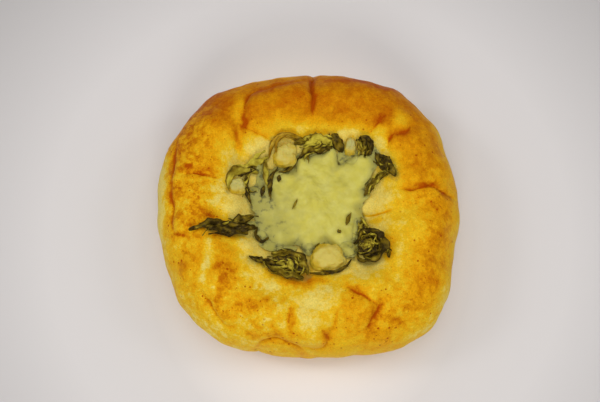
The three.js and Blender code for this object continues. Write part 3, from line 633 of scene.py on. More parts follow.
def nearest(line, x, y):
    """Distance to a line, the side of it (-1 right to 1 left) and the share along it."""
    best = np.full(x.shape, np.inf)
    side = np.zeros_like(x)
    along = np.zeros_like(x)
    for i in range(len(line) - 1):
        run = line[i + 1] - line[i]
        length = np.hypot(*run)
        t = np.clip(((x - line[i][0]) * run[0] + (y - line[i][1]) * run[1]) / length**2, 0, 1)
        off_x = x - line[i][0] - t * run[0]
        off_y = y - line[i][1] - t * run[1]
        distance = np.hypot(off_x, off_y)
        nearer = distance < best
        turn = (run[0] * off_y - run[1] * off_x) / (length * np.maximum(distance, 1e-9))
        side = np.where(nearer, turn, side)
        along = np.where(nearer, (i + t) / (len(line) - 1), along)
        best = np.where(nearer, distance, best)
    return best, side, along


def smooth_line(path, shares):
    """Points and headings at shares of the length of a soft curve through path, and its length."""
    points = np.array(path, float)
    if len(points) == 2:
        points = np.array([points[0], points.mean(0), points[1]])
    ends = np.vstack([2 * points[0] - points[1], points, 2 * points[-1] - points[-2]])
    steps = np.linspace(0, 1, LINE_STEPS, endpoint=False)[:, None]
    dense = []
    for a, b, c, d in zip(ends, ends[1:], ends[2:], ends[3:]):
        dense.append(0.5 * (2 * b + (c - a) * steps + (2 * a - 5 * b + 4 * c - d) * steps**2
                            + (3 * b - a - 3 * c + d) * steps**3))
    dense = np.vstack([*dense, points[-1:]])
    lengths = np.concatenate([[0], np.cumsum(np.hypot(*np.diff(dense, axis=0).T))])
    length = lengths[-1]

    def place(at):
        return np.interp(at, lengths, dense[:, 0]), np.interp(at, lengths, dense[:, 1])

    at, step = shares * length, length * HEADING_STEP
    x, y = place(at)
    ahead, behind = place(np.minimum(at + step, length)), place(np.maximum(at - step, 0))
    run_x, run_y = ahead[0] - behind[0], ahead[1] - behind[1]
    run = np.hypot(run_x, run_y)
    return x, y, run_x / run, run_y / run, length


def fading(along):
    """Strength along a line, from 0 at its ends to 1 in the middle."""
    return np.sqrt(np.clip(np.sin(np.pi * along), 0, 1))


class Crust:
    """The form of the dough ring, worked out from its settings, in millimetres."""

    def __init__(self, settings):
        self.radius = settings.radius / MM
        self.crest = settings.crest_height / MM
        self.floor = self.crest - settings.crater_depth / MM
        self.widest = settings.widest_height / MM
        self.lines = [quadratic(path) for path, *_ in FOLDS]

    def outline(self, angle):
        """Radius of the plan view at an angle, before it is narrowed from front to back."""
        return self.radius * (1 - CORNER_SWELL * np.cos(4 * angle)) + bells(angle, OUTLINE_SWELLS)

    def height(self, share):
        """Height of the top before its relief, at a share of the outline's radius."""
        rise = smooth((share - CRATER_FLOOR_AT) / (CREST_AT - CRATER_FLOOR_AT))
        inner = self.floor + (self.crest - self.floor) * rise
        out = np.clip((share - CREST_AT) / (1 - CREST_AT), 0, 1)
        fall = (1 - out**SHOULDER_POWER) ** (1 / SHOULDER_POWER)
        return np.where(share <= CREST_AT, inner, self.widest + (self.crest - self.widest) * fall)

    def relief(self, x, y):
        """Height of the waves, lobes and folds."""
        total = waves(x, y, CRUST_WAVES)
        bent = wander(x, y)
        for centre, half_sizes, turn, height in PILLOWS:
            left = np.clip(1 - in_patch(x, y, centre, half_sizes, turn), 0, None)
            total += height * left**2
        for (_, depth, width, lips, _), line in zip(FOLDS, self.lines):
            distance, side, along = nearest(line, *bent)
            strength = FOLD_END + (1 - FOLD_END) * fading(along)
            lip = lips[1] + (lips[0] - lips[1]) * (side + 1) / 2
            reach = distance / (width * LIP_TO_CREASE)
            crease = CREASE_DEPTH * depth * np.exp(-distance / (width * CREASE_WIDTH))
            total += strength * (lip * reach * np.exp(1 - reach) - crease)
        return total

    def bed(self, x, y):
        """Height of the crust's open top."""
        angle = np.arctan2(y / DEPTH_TO_WIDTH, x)
        share = np.hypot(x, y / DEPTH_TO_WIDTH) / self.outline(angle)
        return self.height(share) + self.relief(x, y)

    def browning(self, x, y, share, angle):
        """How brown the top is baked, from 0 pale to 1 deep brown, with some painted shade on the
        crater's back wall.
        """
        rim = RIM_BROWNING + bells(angle, RIM_BROWNING_SWELLS)
        total = rim * smooth((share - RIM_BROWNS_FROM) / RIM_BROWNS_OVER)
        edge = bells(angle, EDGE_BROWNING_SWELLS)
        total += edge * smooth((share - EDGE_BROWNS_FROM) / EDGE_BROWNS_OVER)
        bent = wander(x, y)
        frayed = np.add(bent, stray(x, y, FRAY, FRAY_SIZE, FRAY_SHIFTS))
        for centre, half_sizes, turn, amount in BROWN_PATCHES:
            total += amount * np.exp(-in_patch(*frayed, centre, half_sizes, turn) ** PATCH_EDGE)
        for (_, _, width, _, tint), line in zip(FOLDS, self.lines):
            distance, _, along = nearest(line, *bent)
            total += tint * fading(along) * sum(
                amount * np.exp(-((distance / (reach * width)) ** 2))
                for amount, reach in CREASE_TINTS)
        return total

    def mottle(self, x, y):
        """How strongly the browning is mottled."""
        total = np.full_like(x, LEAST_MOTTLE)
        for centre, half_sizes, turn, amount in MOTTLED_PATCHES:
            total += amount * np.exp(-in_patch(x, y, centre, half_sizes, turn))
        return total


class Cheese:
    """The form of the melted pool, in millimetres."""

    def __init__(self, settings, crust):
        self.thickness_at_middle = settings.cheese_thickness / MM
        self.crust = crust

    def outline(self, angle):
        ripples = sum(
            height * np.sin(count * angle + phase) for height, count, phase in CHEESE_RIPPLES)
        return CHEESE_RADIUS + bells(angle, CHEESE_LOBES) + ripples

    def inset(self, x, y):
        """Distance in from the outline, towards the centre."""
        across, deep = x - CHEESE_CENTRE[0], y - CHEESE_CENTRE[1]
        return self.outline(np.arctan2(deep, across)) - np.hypot(across, deep)

    def thickness(self, x, y):
        """Thickness of the pool, domed in the middle and thinning out along its outline."""
        lumpy = waves(x, y, CHEESE_WAVES)
        for height, size, offset in CHEESE_LUMPS:
            lumpy += height * rough(on_plan(x, y), size, offset=offset)
        out = np.hypot(x - CHEESE_CENTRE[0], y - CHEESE_CENTRE[1]) / CHEESE_DOME
        thick = CHEESE_EDGE + (self.thickness_at_middle - CHEESE_EDGE) * np.exp(-(out**2))
        short = np.clip(1 - self.inset(x, y) / CHEESE_FEATHER, 0, 1)
        return thick * (1 + CHEESE_UNEVENNESS * lumpy) * (1 - short**CHEESE_FEATHER_POWER)

    def top(self, x, y):
        return self.crust.bed(x, y) + CHEESE_BED_GAP + self.thickness(x, y)


def forms(scene):
    """The forms of the dough and the cheese, from the scene's settings."""
    crust = Crust(scene.savoury_bun_dough)
    return crust, Cheese(scene.savoury_bun_filling, crust)


def link_object(name, data):
    """Adds an object to the scene."""
    made = bpy.data.objects.new(name, data)
    bpy.context.scene.collection.objects.link(made)
    return made


def make_piece(name, mesh, nodes, material, attributes):
    """Turns a bmesh into a shaded piece of the bun that stands for the named CAD nodes."""
    data = bpy.data.meshes.new(name)
    mesh.to_mesh(data)
    mesh.free()
    for layer, values in attributes.items():
        made = data.attributes.new(layer, "FLOAT", "POINT")
        made.data.foreach_set("value", values.astype(np.float32))
    data.shade_smooth()
    data.materials.append(material)
    piece = link_object(name, data)
    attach(piece, BODY)
    if nodes:
        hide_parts(*nodes)


def positions(verts):
    """Places as they are in the mesh."""
    return np.array([vert.co for vert in verts])


def move_to(verts, points):
    """Moves the vertices to places given in millimetres."""
    for vert, point in zip(verts, np.asarray(points) * MM):
        vert.co = point


def noise_place(centre):
    """Offset for the noise of a ball, so that no two have the same dents."""
    return 10 * np.array([*centre, 0])


def spread_ball(ball, uneven, centre, half_sizes, turn):
    """Plan of a unit ball stretched to its half sizes, turned and set at its centre."""
    across, deep = turned(ball[:, 0] * half_sizes[0], ball[:, 1] * half_sizes[1], turn)
    return centre[0] + uneven * across, centre[1] + uneven * deep


# Materials. Each noise is given by its size in mm, its detail, its low and high level and, where
# they aren't 0 and 1, what these two stand for.


class Nodes:
    """Short-hand for building a node tree."""

    def __init__(self, name):
        self.material = bpy.data.materials.new(name)
        self.material.use_nodes = True
        self.tree = self.material.node_tree
        self.shader = self.tree.nodes["Principled BSDF"]

    def feed(self, socket, value):
        """Links a socket to another, or sets its value."""
        if isinstance(value, bpy.types.NodeSocket):
            self.tree.links.new(value, socket)
        else:
            socket.default_value = value

    def add(self, kind, values=None, **settings):
        made = self.tree.nodes.new(kind)
        for key, value in settings.items():
            setattr(made, key, value)
        for key, value in (values or {}).items():
            self.feed(made.inputs[key], value)
        return made

    def set(self, **values):
        """Sets the shader's sockets, named with _ for each space."""
        for key, value in values.items():
            self.feed(self.shader.inputs[key.replace("_", " ")], value)

    def coordinates(self):
        return self.add("ShaderNodeTexCoord").outputs["Object"]

    def attribute(self, name):
        return self.add("ShaderNodeAttribute", attribute_name=name).outputs["Fac"]

    def noise(self, where, size, detail, output="Fac"):
        """Noise with lumps of a size in mm."""
        values = {"Vector": where, "Scale": 1 / (size * MM), "Detail": detail}
        return self.add("ShaderNodeTexNoise", values).outputs[output]

    def cells(self, where, size, feature="F1"):
        """Distance to the middle of a cell of a size in mm, or to its edge."""
        values = {"Vector": where, "Scale": 1 / (size * MM)}
        return self.add("ShaderNodeTexVoronoi", values, feature=feature).outputs["Distance"]

    def vector(self, operation, *values, output="Vector"):
        made = self.add("ShaderNodeVectorMath", dict(enumerate(values)), operation=operation)
        return made.outputs[output]

    def math(self, operation, a, b, clamp=False):
        made = self.add("ShaderNodeMath", {0: a, 1: b}, operation=operation, use_clamp=clamp)
        return made.outputs[0]

    def plus(self, a, b, clamp=False):
        return self.math("ADD", a, b, clamp)

    def times(self, a, b, clamp=False):
        return self.math("MULTIPLY", a, b, clamp)

    def spread(self, value, low, high, to_low=0.0, to_high=1.0):
        """Maps low..high to to_low..to_high, held at both ends."""
        values = {
            "Value": value, "From Min": low, "From Max": high, "To Min": to_low, "To Max": to_high}
        return self.add("ShaderNodeMapRange", values).outputs["Result"]

    def varied(self, where, size, detail, *levels):
        """Noise with its levels mapped by spread."""
        return self.spread(self.noise(where, size, detail), *levels)

    def mix(self, share, a, b, blend="MIX"):
        made = self.add("ShaderNodeMix", data_type="RGBA", blend_type=blend)
        for name, value in (("Factor", share), ("A", a), ("B", b)):
            socket = next(s for s in made.inputs if s.name == name and s.enabled)
            bare = name != "Factor" and not isinstance(value, bpy.types.NodeSocket)
            self.feed(socket, (*value, 1) if bare else value)
        return next(s for s in made.outputs if s.enabled)

    def shade(self, colour, by):
        """Multiplies a colour by a value."""
        grey = self.add("ShaderNodeCombineColor", {"Red": by, "Green": by, "Blue": by})
        return self.mix(1.0, colour, grey.outputs["Color"], "MULTIPLY")

    def ramp(self, value, places, colours):
        made = self.add("ShaderNodeValToRGB", {"Fac": value})
        ramp = made.color_ramp
        while len(ramp.elements) < len(places):
            ramp.elements.new(0.5)
        for element, at, colour in zip(ramp.elements, places, colours):
            element.position = at
            element.color = (*colour, 1)
        return made.outputs["Color"]

    def bumps(self, where, layers):
        """Normal of bumps, given as the size, detail, strength and height in mm of each."""
        normal = None
        for size, detail, strength, height in layers:
            values = {"Height": self.noise(where, size, detail), "Strength": strength,
                      "Distance": height * MM}
            if normal is not None:
                values["Normal"] = normal
            normal = self.add("ShaderNodeBump", values).outputs["Normal"]
        return normal


BAKED_AT = (0.0, 0.23, 0.52, 0.75, 1.0)  # browning of the crust's colours, from pale to deep brown
CRUST_GRAIN = (0.5, 2, 0.25, 0.75, 0.86, 1.14)
CRUST_ROUGHNESS = (4.0, 3, 0.3, 0.7, 0.42, 0.58)
CRUST_BUMPS = ((1.1, 5, 0.25, 0.25), (0.35, 2, 0.15, 0.1))
WET_MARKS = (1.5, 3, 0.35, 0.6, 0.35, 1)

# Mottles of the crust: size in mm, amount, softness.
CRUST_MOTTLES = ((8, 0.09, 0.09), (3.6, 0.13, 0.055), (1.7, 0.1, 0.045), (0.7, 0.05, 0.09))
MOTTLE_DETAIL = 3

# Fine cracks: size of the cells between them in mm, width as a share of it, amount, how far they
# bend and the size of their bends in mm, and the noise that says where they lie.
CRACKLE_SIZE, CRACKLE_WIDTH, CRACKLE_AMOUNT = 3.4, 0.09, 0.1
CRACKLE_BEND, CRACKLE_BEND_SIZE, CRACKLE_BEND_DETAIL = 1.5, 2, 2
CRACKLE_PLACES = (3, 2, 0.48, 0.6)

# Specks: size of their cells in mm, low and high level of the noise that says where they lie,
# strength.
CRUST_SPECKS = ((2.6, 0.5, 0.56, 1.5), (1.4, 0.48, 0.58, 1.0))
SPECK_RIM = (0.1, 0.2)  # where a speck fades, in cells from its middle
SPECK_PLACES, SPECK_PLACES_DETAIL = 3, 2  # size of that noise, in cells, and its detail
SPECKS_BY_BROWNING = (0.12, 0.4)  # browning between which they set in
SPECKS_BY_MOTTLE = (0, 0.55)


def crust_material(settings):
    """Baked crust: the browning attribute through a ramp of baked colours, mottled and specked."""
    n = Nodes("baked_crust")
    where = n.coordinates()
    browning, mottle = n.attribute("browning"), n.attribute("mottle")
    bend = n.noise(where, CRACKLE_BEND_SIZE, CRACKLE_BEND_DETAIL, "Color")
    bent = n.vector("MULTIPLY_ADD", bend, (CRACKLE_BEND * MM,) * 3, where)
    edges = n.cells(bent, CRACKLE_SIZE, "DISTANCE_TO_EDGE")
    cracks = n.spread(edges, 0, CRACKLE_WIDTH, CRACKLE_AMOUNT, 0)
    uneven = n.times(cracks, n.varied(where, *CRACKLE_PLACES))
    for size, amount, soft in CRUST_MOTTLES:
        levels = (0.5 - soft, 0.5 + soft, -amount, amount)
        uneven = n.plus(uneven, n.varied(where, size, MOTTLE_DETAIL, *levels))
    colour = n.ramp(n.plus(browning, n.times(uneven, mottle)), BAKED_AT, (
        settings.pale, settings.yellow, settings.golden, settings.brown, settings.deep))
    baked = n.times(n.spread(browning, *SPECKS_BY_BROWNING), n.spread(mottle, *SPECKS_BY_MOTTLE))
    for size, low, high, strength in CRUST_SPECKS:
        dots = n.spread(n.cells(where, size), *SPECK_RIM, 1, 0)
        places = n.varied(where, SPECK_PLACES * size, SPECK_PLACES_DETAIL, low, high)
        specks = n.times(n.times(dots, places), baked, clamp=True)
        colour = n.mix(n.times(specks, strength), colour, settings.deep)
    # Stain of cheese and greens, and painted shade in the gaps round the cheese and under the
    # leaves.
    colour = n.mix(n.times(n.attribute("wet"), n.varied(where, *WET_MARKS)), colour, settings.wet)
    n.set(
        Base_Color=n.shade(colour, n.varied(where, *CRUST_GRAIN)),
        Roughness=n.varied(where, *CRUST_ROUGHNESS),
        Normal=n.bumps(where, CRUST_BUMPS),
        Specular_IOR_Level=0.05,
        Specular_Tint=(1, 0.66, 0.2, 1),
        Subsurface_Weight=0.12,
        Subsurface_Radius=(0.003, 0.0016, 0.0006),
        Subsurface_Scale=1.0,
    )
    return n.material


THIN_PLACES = (3.0, 3, 0.3, 0.7, -0.25, 0.25)
MILKY_PLACES = (4.0, 4, 0.4, 0.65)
GREENS_PLACES = (1.6, 2, 0.52, 0.64)  # where the greens show through thin cheese
GREENS_BY_THINNESS = (0.65, 1.0)  # thinness between which they set in
MILKY_SHARE, THIN_SHARE, GREENS_SHARE = 0.6, 0.85, 0.7  # of these colours where they are strongest
CHEESE_ROUGHNESS = (2.5, 3, 0.3, 0.7, 0.38, 0.55)
CHEESE_BUMPS = ((2.2, 4, 0.2, 0.4),)


def cheese_material(settings):
    """Melted cheese: yellow green, greyer where it is thin and the greens show through."""
    n = Nodes("melted_cheese")
    where = n.coordinates()
    thin = n.plus(n.attribute("thin"), n.varied(where, *THIN_PLACES), clamp=True)
    milky = n.varied(where, *MILKY_PLACES)
    greens = n.times(n.varied(where, *GREENS_PLACES), n.spread(thin, *GREENS_BY_THINNESS))
    colour = n.mix(n.times(milky, MILKY_SHARE), settings.cheese, settings.milky_cheese)
    colour = n.mix(n.times(thin, THIN_SHARE), colour, settings.thin_cheese)
    colour = n.mix(n.times(greens, GREENS_SHARE), colour, settings.greens_through_cheese)
    n.set(
        Base_Color=colour,
        Roughness=n.varied(where, *CHEESE_ROUGHNESS),
        Normal=n.bumps(where, CHEESE_BUMPS),
        Specular_IOR_Level=0.12,
        Subsurface_Weight=0.3,
        Subsurface_Radius=(0.004, 0.0035, 0.0012),
        Subsurface_Scale=1.0,
    )
    return n.material


STAIN_PLACES = (2.5, 3, 0.36, 0.64, -0.36, 0.36)
LUMP_BUMPS = ((1.0, 4, 0.3, 0.3),)


def lump_material(name, settings, sallow):
    """Soft filling: cream, stained towards its foot and darkened there with painted shade."""
    n = Nodes(name)
    where = n.coordinates()
    stain = n.plus(n.attribute("stain"), n.varied(where, *STAIN_PLACES), clamp=True)
    cream = [a + (b - a) * sallow for a, b in zip(settings.lump, settings.lump_sallow)]
    n.set(
        Base_Color=n.mix(stain, cream, settings.lump_foot),
        Roughness=0.5,
        Specular_IOR_Level=0.15,
        Normal=n.bumps(where, LUMP_BUMPS),
        Subsurface_Weight=0.3,
        Subsurface_Radius=(0.003, 0.002, 0.0008),
        Subsurface_Scale=1.0,
    )
    return n.material


LEAF_TONES_AT = (0.1, 0.45, 0.9)  # tones of a leaf's dark, middle and light colours
LEAF_STREAKS = (1.2, 4, 0.3, 0.7, -0.09, 0.09)
LEAF_ROUGHNESS = (1.2, 2, 0.3, 0.7, 0.25, 0.5)
LEAF_BUMPS = ((0.7, 4, 0.3, 0.2),)


def leaf_material(name, *colours):
    """Wet pickled leaf: dark to light by its tone, streaked and glossy."""
    n = Nodes(name)
    where = n.coordinates()
    tone = n.plus(n.attribute("tone"), n.varied(where, *LEAF_STREAKS), clamp=True)
    n.set(
        Base_Color=n.ramp(tone, LEAF_TONES_AT, colours),
        Roughness=n.varied(where, *LEAF_ROUGHNESS),
        Normal=n.bumps(where, LEAF_BUMPS),
        Specular_IOR_Level=0.14,
        Specular_Tint=(1, 0.78, 0.4, 1),
        Coat_Weight=0.02,
        Coat_Roughness=0.12,
        Subsurface_Weight=0.1,
        Subsurface_Radius=(0.001, 0.001, 0.0003),
        Subsurface_Scale=1.0,
    )
    return n.material


# Painted light on the floor: how much darker it is painted away from the bun and lighter close to
# it, where the bun's own shade would fall, and the distances from the middle, in metres, between
# which it does.
FLOOR_FALL, FLOOR_FALL_REACH = 0.7, (0.1, 0.16)
FLOOR_LIFT, FLOOR_LIFT_REACH = 1.27, (0.056, 0.085)
FLOOR_LIFT_SHAPE = (1.35, 1, 1)  # the painted light is this much narrower than deep


def floor_material(settings):
    """Pale floor with painted light: lighter close to the bun and darker away from it."""
    n = Nodes("pale_floor")
    where = n.coordinates()
    out = n.vector("LENGTH", where, output="Value")
    near = n.vector("LENGTH", n.vector("MULTIPLY", where, FLOOR_LIFT_SHAPE), output="Value")
    # Painted shade away from the bun, and painted light close to it.
    tint = n.mix(n.spread(out, *FLOOR_FALL_REACH), settings.floor,
                 [c * FLOOR_FALL for c in settings.floor])
    lift = n.spread(near, *FLOOR_LIFT_REACH, FLOOR_LIFT, 1)
    n.set(Base_Color=n.shade(tint, lift), Roughness=0.7, Specular_IOR_Level=0.2)
    return n.material


# Pieces.


class SAVOURYBUN_OT_dough(bpy.types.Operator):
    """Bake the dough ring"""

    bl_idname = "savoury_bun.dough"
    bl_label = "Dough"

    CRATER_STEPS, WALL_STEPS, SHOULDER_STEPS, UNDERSIDE_STEPS, BASE_STEPS = 6, 68, 48, 20, 5
    WALL_FROM = 0.25  # share of the outline's radius where the wall's finer steps begin
    LEAST_GAP = 1e-5  # points of the spun section nearer than this are one
    WET_EDGE = 1.5  # mm, how far out of the cheese the dough is wetted and darkened with painted shade
    WET_BY_LEAVES = 0.6  # how wetted and shade-painted it is under a leaf, where 1 is under the cheese

    def section(self, crust):
        """Stations of the section from the crater's middle to the underside's.

        Each is its share of the outline's radius, its height, the direction outward and upward in
        which relief pushes it, and how much of the relief counts.
        """
        inner = np.concatenate([
            np.linspace(0, self.WALL_FROM, self.CRATER_STEPS, endpoint=False),
            np.linspace(self.WALL_FROM, CREST_AT, self.WALL_STEPS),
        ])
        stations = [(share, float(crust.height(np.array(share))), 0, 1, 1) for share in inner]
        power = 2 / SHOULDER_POWER
        for turn in np.linspace(0, math.pi / 2, self.SHOULDER_STEPS + 1)[1:]:
            stations.append((
                CREST_AT + (1 - CREST_AT) * math.sin(turn) ** power,
                crust.widest + (crust.crest - crust.widest) * max(0, math.cos(turn)) ** power,
                math.sin(turn), math.cos(turn), 1,
            ))
        power = 2 / UNDERSIDE_POWER
        for step in range(1, self.UNDERSIDE_STEPS + 1):
            turn = step / self.UNDERSIDE_STEPS * math.pi / 2
            stations.append((
                BASE_AT + (1 - BASE_AT) * max(0, math.cos(turn)) ** power,
                crust.widest * (1 - math.sin(turn) ** power),
                1, 0, 1 - float(smooth(step / self.UNDERSIDE_STEPS)),
            ))
        for share in np.linspace(BASE_AT, 0, self.BASE_STEPS + 1)[1:]:
            stations.append((share, 0, 0, 1, 0))
        return np.array(stations).T

    def wetness(self, cheese, x, y):
        """How much the dough is wetted, from 0 to 1, under and close to the cheese and the leaves;
        the same mask paints shade into the gaps round the cheese and under the leaves.
        """
        wet = smooth(1 + cheese.inset(x, y) / self.WET_EDGE)
        for *_, leaves in GREENS:
            for path, width, *_ in leaves:
                beside = nearest(np.array(path, float), x, y)[0] - width / 2
                wet = np.maximum(wet, self.WET_BY_LEAVES * smooth(-beside))
        return wet

    def execute(self, context):
        settings = context.scene.savoury_bun_dough
        crust, cheese = forms(context.scene)
        section = self.section(crust)
        mesh = bmesh.new()
        # The section is spun upright, each point as high as its place in the row of stations.
        chain = [mesh.verts.new((share, 0, i)) for i, share in enumerate(section[0])]
        edges = [mesh.edges.new(pair) for pair in zip(chain, chain[1:])]
        bmesh.ops.spin(mesh, geom=chain + edges, axis=(0, 0, 1), cent=(0, 0, 0), angle=2 * math.pi,
                       steps=settings.sides, use_merge=True, use_duplicate=False)
        bmesh.ops.remove_doubles(mesh, verts=mesh.verts, dist=self.LEAST_GAP)
        spun = positions(mesh.verts)
        station = np.rint(spun[:, 2]).astype(int)
        share, height, outward, upward, keep = section[:, station]
        angle = np.arctan2(spun[:, 1], spun[:, 0])
        radius = share * crust.outline(angle)
        x, y = radius * np.cos(angle), radius * np.sin(angle) * DEPTH_TO_WIDTH
        skin = unevenness(np.stack([x, y, height], 1), DOUGH_SKIN)
        push = keep * (crust.relief(x, y) + skin)
        move_to(mesh.verts, np.stack([
            x + push * outward * np.cos(angle),
            y + push * outward * np.sin(angle),
            height + push * upward,
        ], 1))
        bmesh.ops.recalc_face_normals(mesh, faces=mesh.faces)
        top = station <= self.CRATER_STEPS + self.WALL_STEPS + self.SHOULDER_STEPS
        down = np.clip(1 - height / crust.widest, 0, 1)
        side = SIDE_BROWNING + SIDE_BAND * np.sin(np.pi * down) + FOOT_BROWNING * down
        lower = np.where(share > BASE_AT, side, SIDE_BROWNING + FOOT_BROWNING)
        browning = crust.browning(x, y, share, angle)
        lowered = browning + (lower - browning) * smooth(down * SIDE_SETS_IN)
        browning = np.where(top, browning, lowered)
        wet = self.wetness(cheese, x, y) * (top & (share < CREST_AT))
        make_piece("dough", mesh, ["bun"], crust_material(settings),
                   {"browning": browning, "mottle": crust.mottle(x, y), "wet": wet})
        return {"FINISHED"}


class SAVOURYBUN_OT_cheese(bpy.types.Operator):
    """Pour the melted cheese"""

    bl_idname = "savoury_bun.cheese"
    bl_label = "Cheese"

    ROUND, ACROSS = 260, 260  # segments of the pool, and rings of its top and underside together
    UNDERSIDE = -0.35  # mm, height of the pool's underside over the gap
    LOBE_POWER, RAG_POWER = 2, 6  # how late the outline's lobes and rags set in towards it
    BLOB_STEPS = 4
    BLOB_DENTS, BLOB_DENT_SIZE, BLOB_DENT_OCTAVES = 0.25, 0.8, 3
    BLOB_FLATNESS = 0.5  # share of its half height that a blob keeps
    BLOB_SINK = 0.2  # how deep its middle lies in the pool, as a share of that

    def execute(self, context):
        crust, cheese = forms(context.scene)
        mesh = bmesh.new()
        bmesh.ops.create_uvsphere(mesh, u_segments=self.ROUND, v_segments=self.ACROSS, radius=1)
        ball = positions(mesh.verts)
        share = np.hypot(ball[:, 0], ball[:, 1])
        angle = np.arctan2(ball[:, 1], ball[:, 0])
        rim = on_plan(CHEESE_RADIUS * np.cos(angle), CHEESE_RADIUS * np.sin(angle))
        lobes = cheese.outline(angle) - CHEESE_RADIUS
        ragged = unevenness(rim, CHEESE_RAGS)
        reach = lobes * share**self.LOBE_POWER + ragged * share**self.RAG_POWER
        radius = share * (CHEESE_RADIUS + reach)
        x = CHEESE_CENTRE[0] + radius * np.cos(angle)
        y = CHEESE_CENTRE[1] + radius * np.sin(angle)
        rise = np.where(ball[:, 2] > 0, cheese.thickness(x, y), self.UNDERSIDE)
        move_to(mesh.verts, np.stack([x, y, crust.bed(x, y) + CHEESE_BED_GAP + rise], 1))
        for centre, half_sizes, turn in CHEESE_BLOBS:
            made = bmesh.ops.create_icosphere(mesh, subdivisions=self.BLOB_STEPS, radius=1)["verts"]
            ball = positions(made)
            dents = rough(ball, self.BLOB_DENT_SIZE, self.BLOB_DENT_OCTAVES, noise_place(centre))
            uneven = 1 + self.BLOB_DENTS * dents
            x, y = spread_ball(ball, uneven, centre, half_sizes, turn)
            rise = self.BLOB_FLATNESS * half_sizes[2] * (uneven * ball[:, 2] - self.BLOB_SINK)
            move_to(made, np.stack([x, y, cheese.top(x, y) + rise], 1))
        bmesh.ops.recalc_face_normals(mesh, faces=mesh.faces)
        x, y = positions(mesh.verts).T[:2] / MM
        thin = THIN_EDGE * smooth(1 - cheese.inset(x, y) / THIN_EDGE_WIDTH)
        for centre, half_sizes, turn, amount in THIN_PATCHES:
            thin += amount * np.exp(-in_patch(x, y, centre, half_sizes, turn))
        material = cheese_material(context.scene.savoury_bun_filling)
        make_piece("melted_cheese", mesh, ["cheese"], material, {"thin": thin})
        return {"FINISHED"}


class SAVOURYBUN_OT_lumps(bpy.types.Operator):
    """Set the soft lumps of filling"""

    bl_idname = "savoury_bun.lumps"
    bl_label = "Lumps"

    STEPS = 6
    STAIN = 0.85  # at the foot of a lump, partly stain and partly painted shade where it meets the dough
    STAIN_FROM, STAIN_OVER = 0.5, 0.5  # where it sets in, in shares of the half width
    STAIN_AT_LEFT = 0.5  # how much more of it there is at the left, and less at the right

    def execute(self, context):
        crust, _ = forms(context.scene)
        settings = context.scene.savoury_bun_filling
        for node, centre, (long, wide, high), turn, sallow in LUMPS:
            mesh = bmesh.new()
            bmesh.ops.create_icosphere(mesh, subdivisions=self.STEPS, radius=1)
            ball = positions(mesh.verts)
            ball /= (np.abs(ball) ** LUMP_SQUARENESS).sum(1, keepdims=True) ** (1 / LUMP_SQUARENESS)
            uneven = LUMP_SIZE + unevenness(ball, LUMP_DENTS, noise_place(centre))
            tapered = long * (1 - LUMP_TAPER * ball[:, 1])
            x, y = spread_ball(ball, uneven, centre, (tapered, wide), turn)
            base = crust.bed(*np.array(centre, float)[:, None])[0]
            rise = high * (LUMP_SEAT + uneven * ball[:, 2])
            move_to(mesh.verts, np.stack([x, y, base + rise], 1))
            out = (np.hypot(ball[:, 0], ball[:, 1]) - self.STAIN_FROM) / self.STAIN_OVER
            stain = self.STAIN * (1 - self.STAIN_AT_LEFT * ball[:, 0]) * smooth(out)
            name = "soft_" + node
            material = lump_material(name, settings, sallow)
            make_piece(name, mesh, [node], material, {"stain": stain})
        return {"FINISHED"}


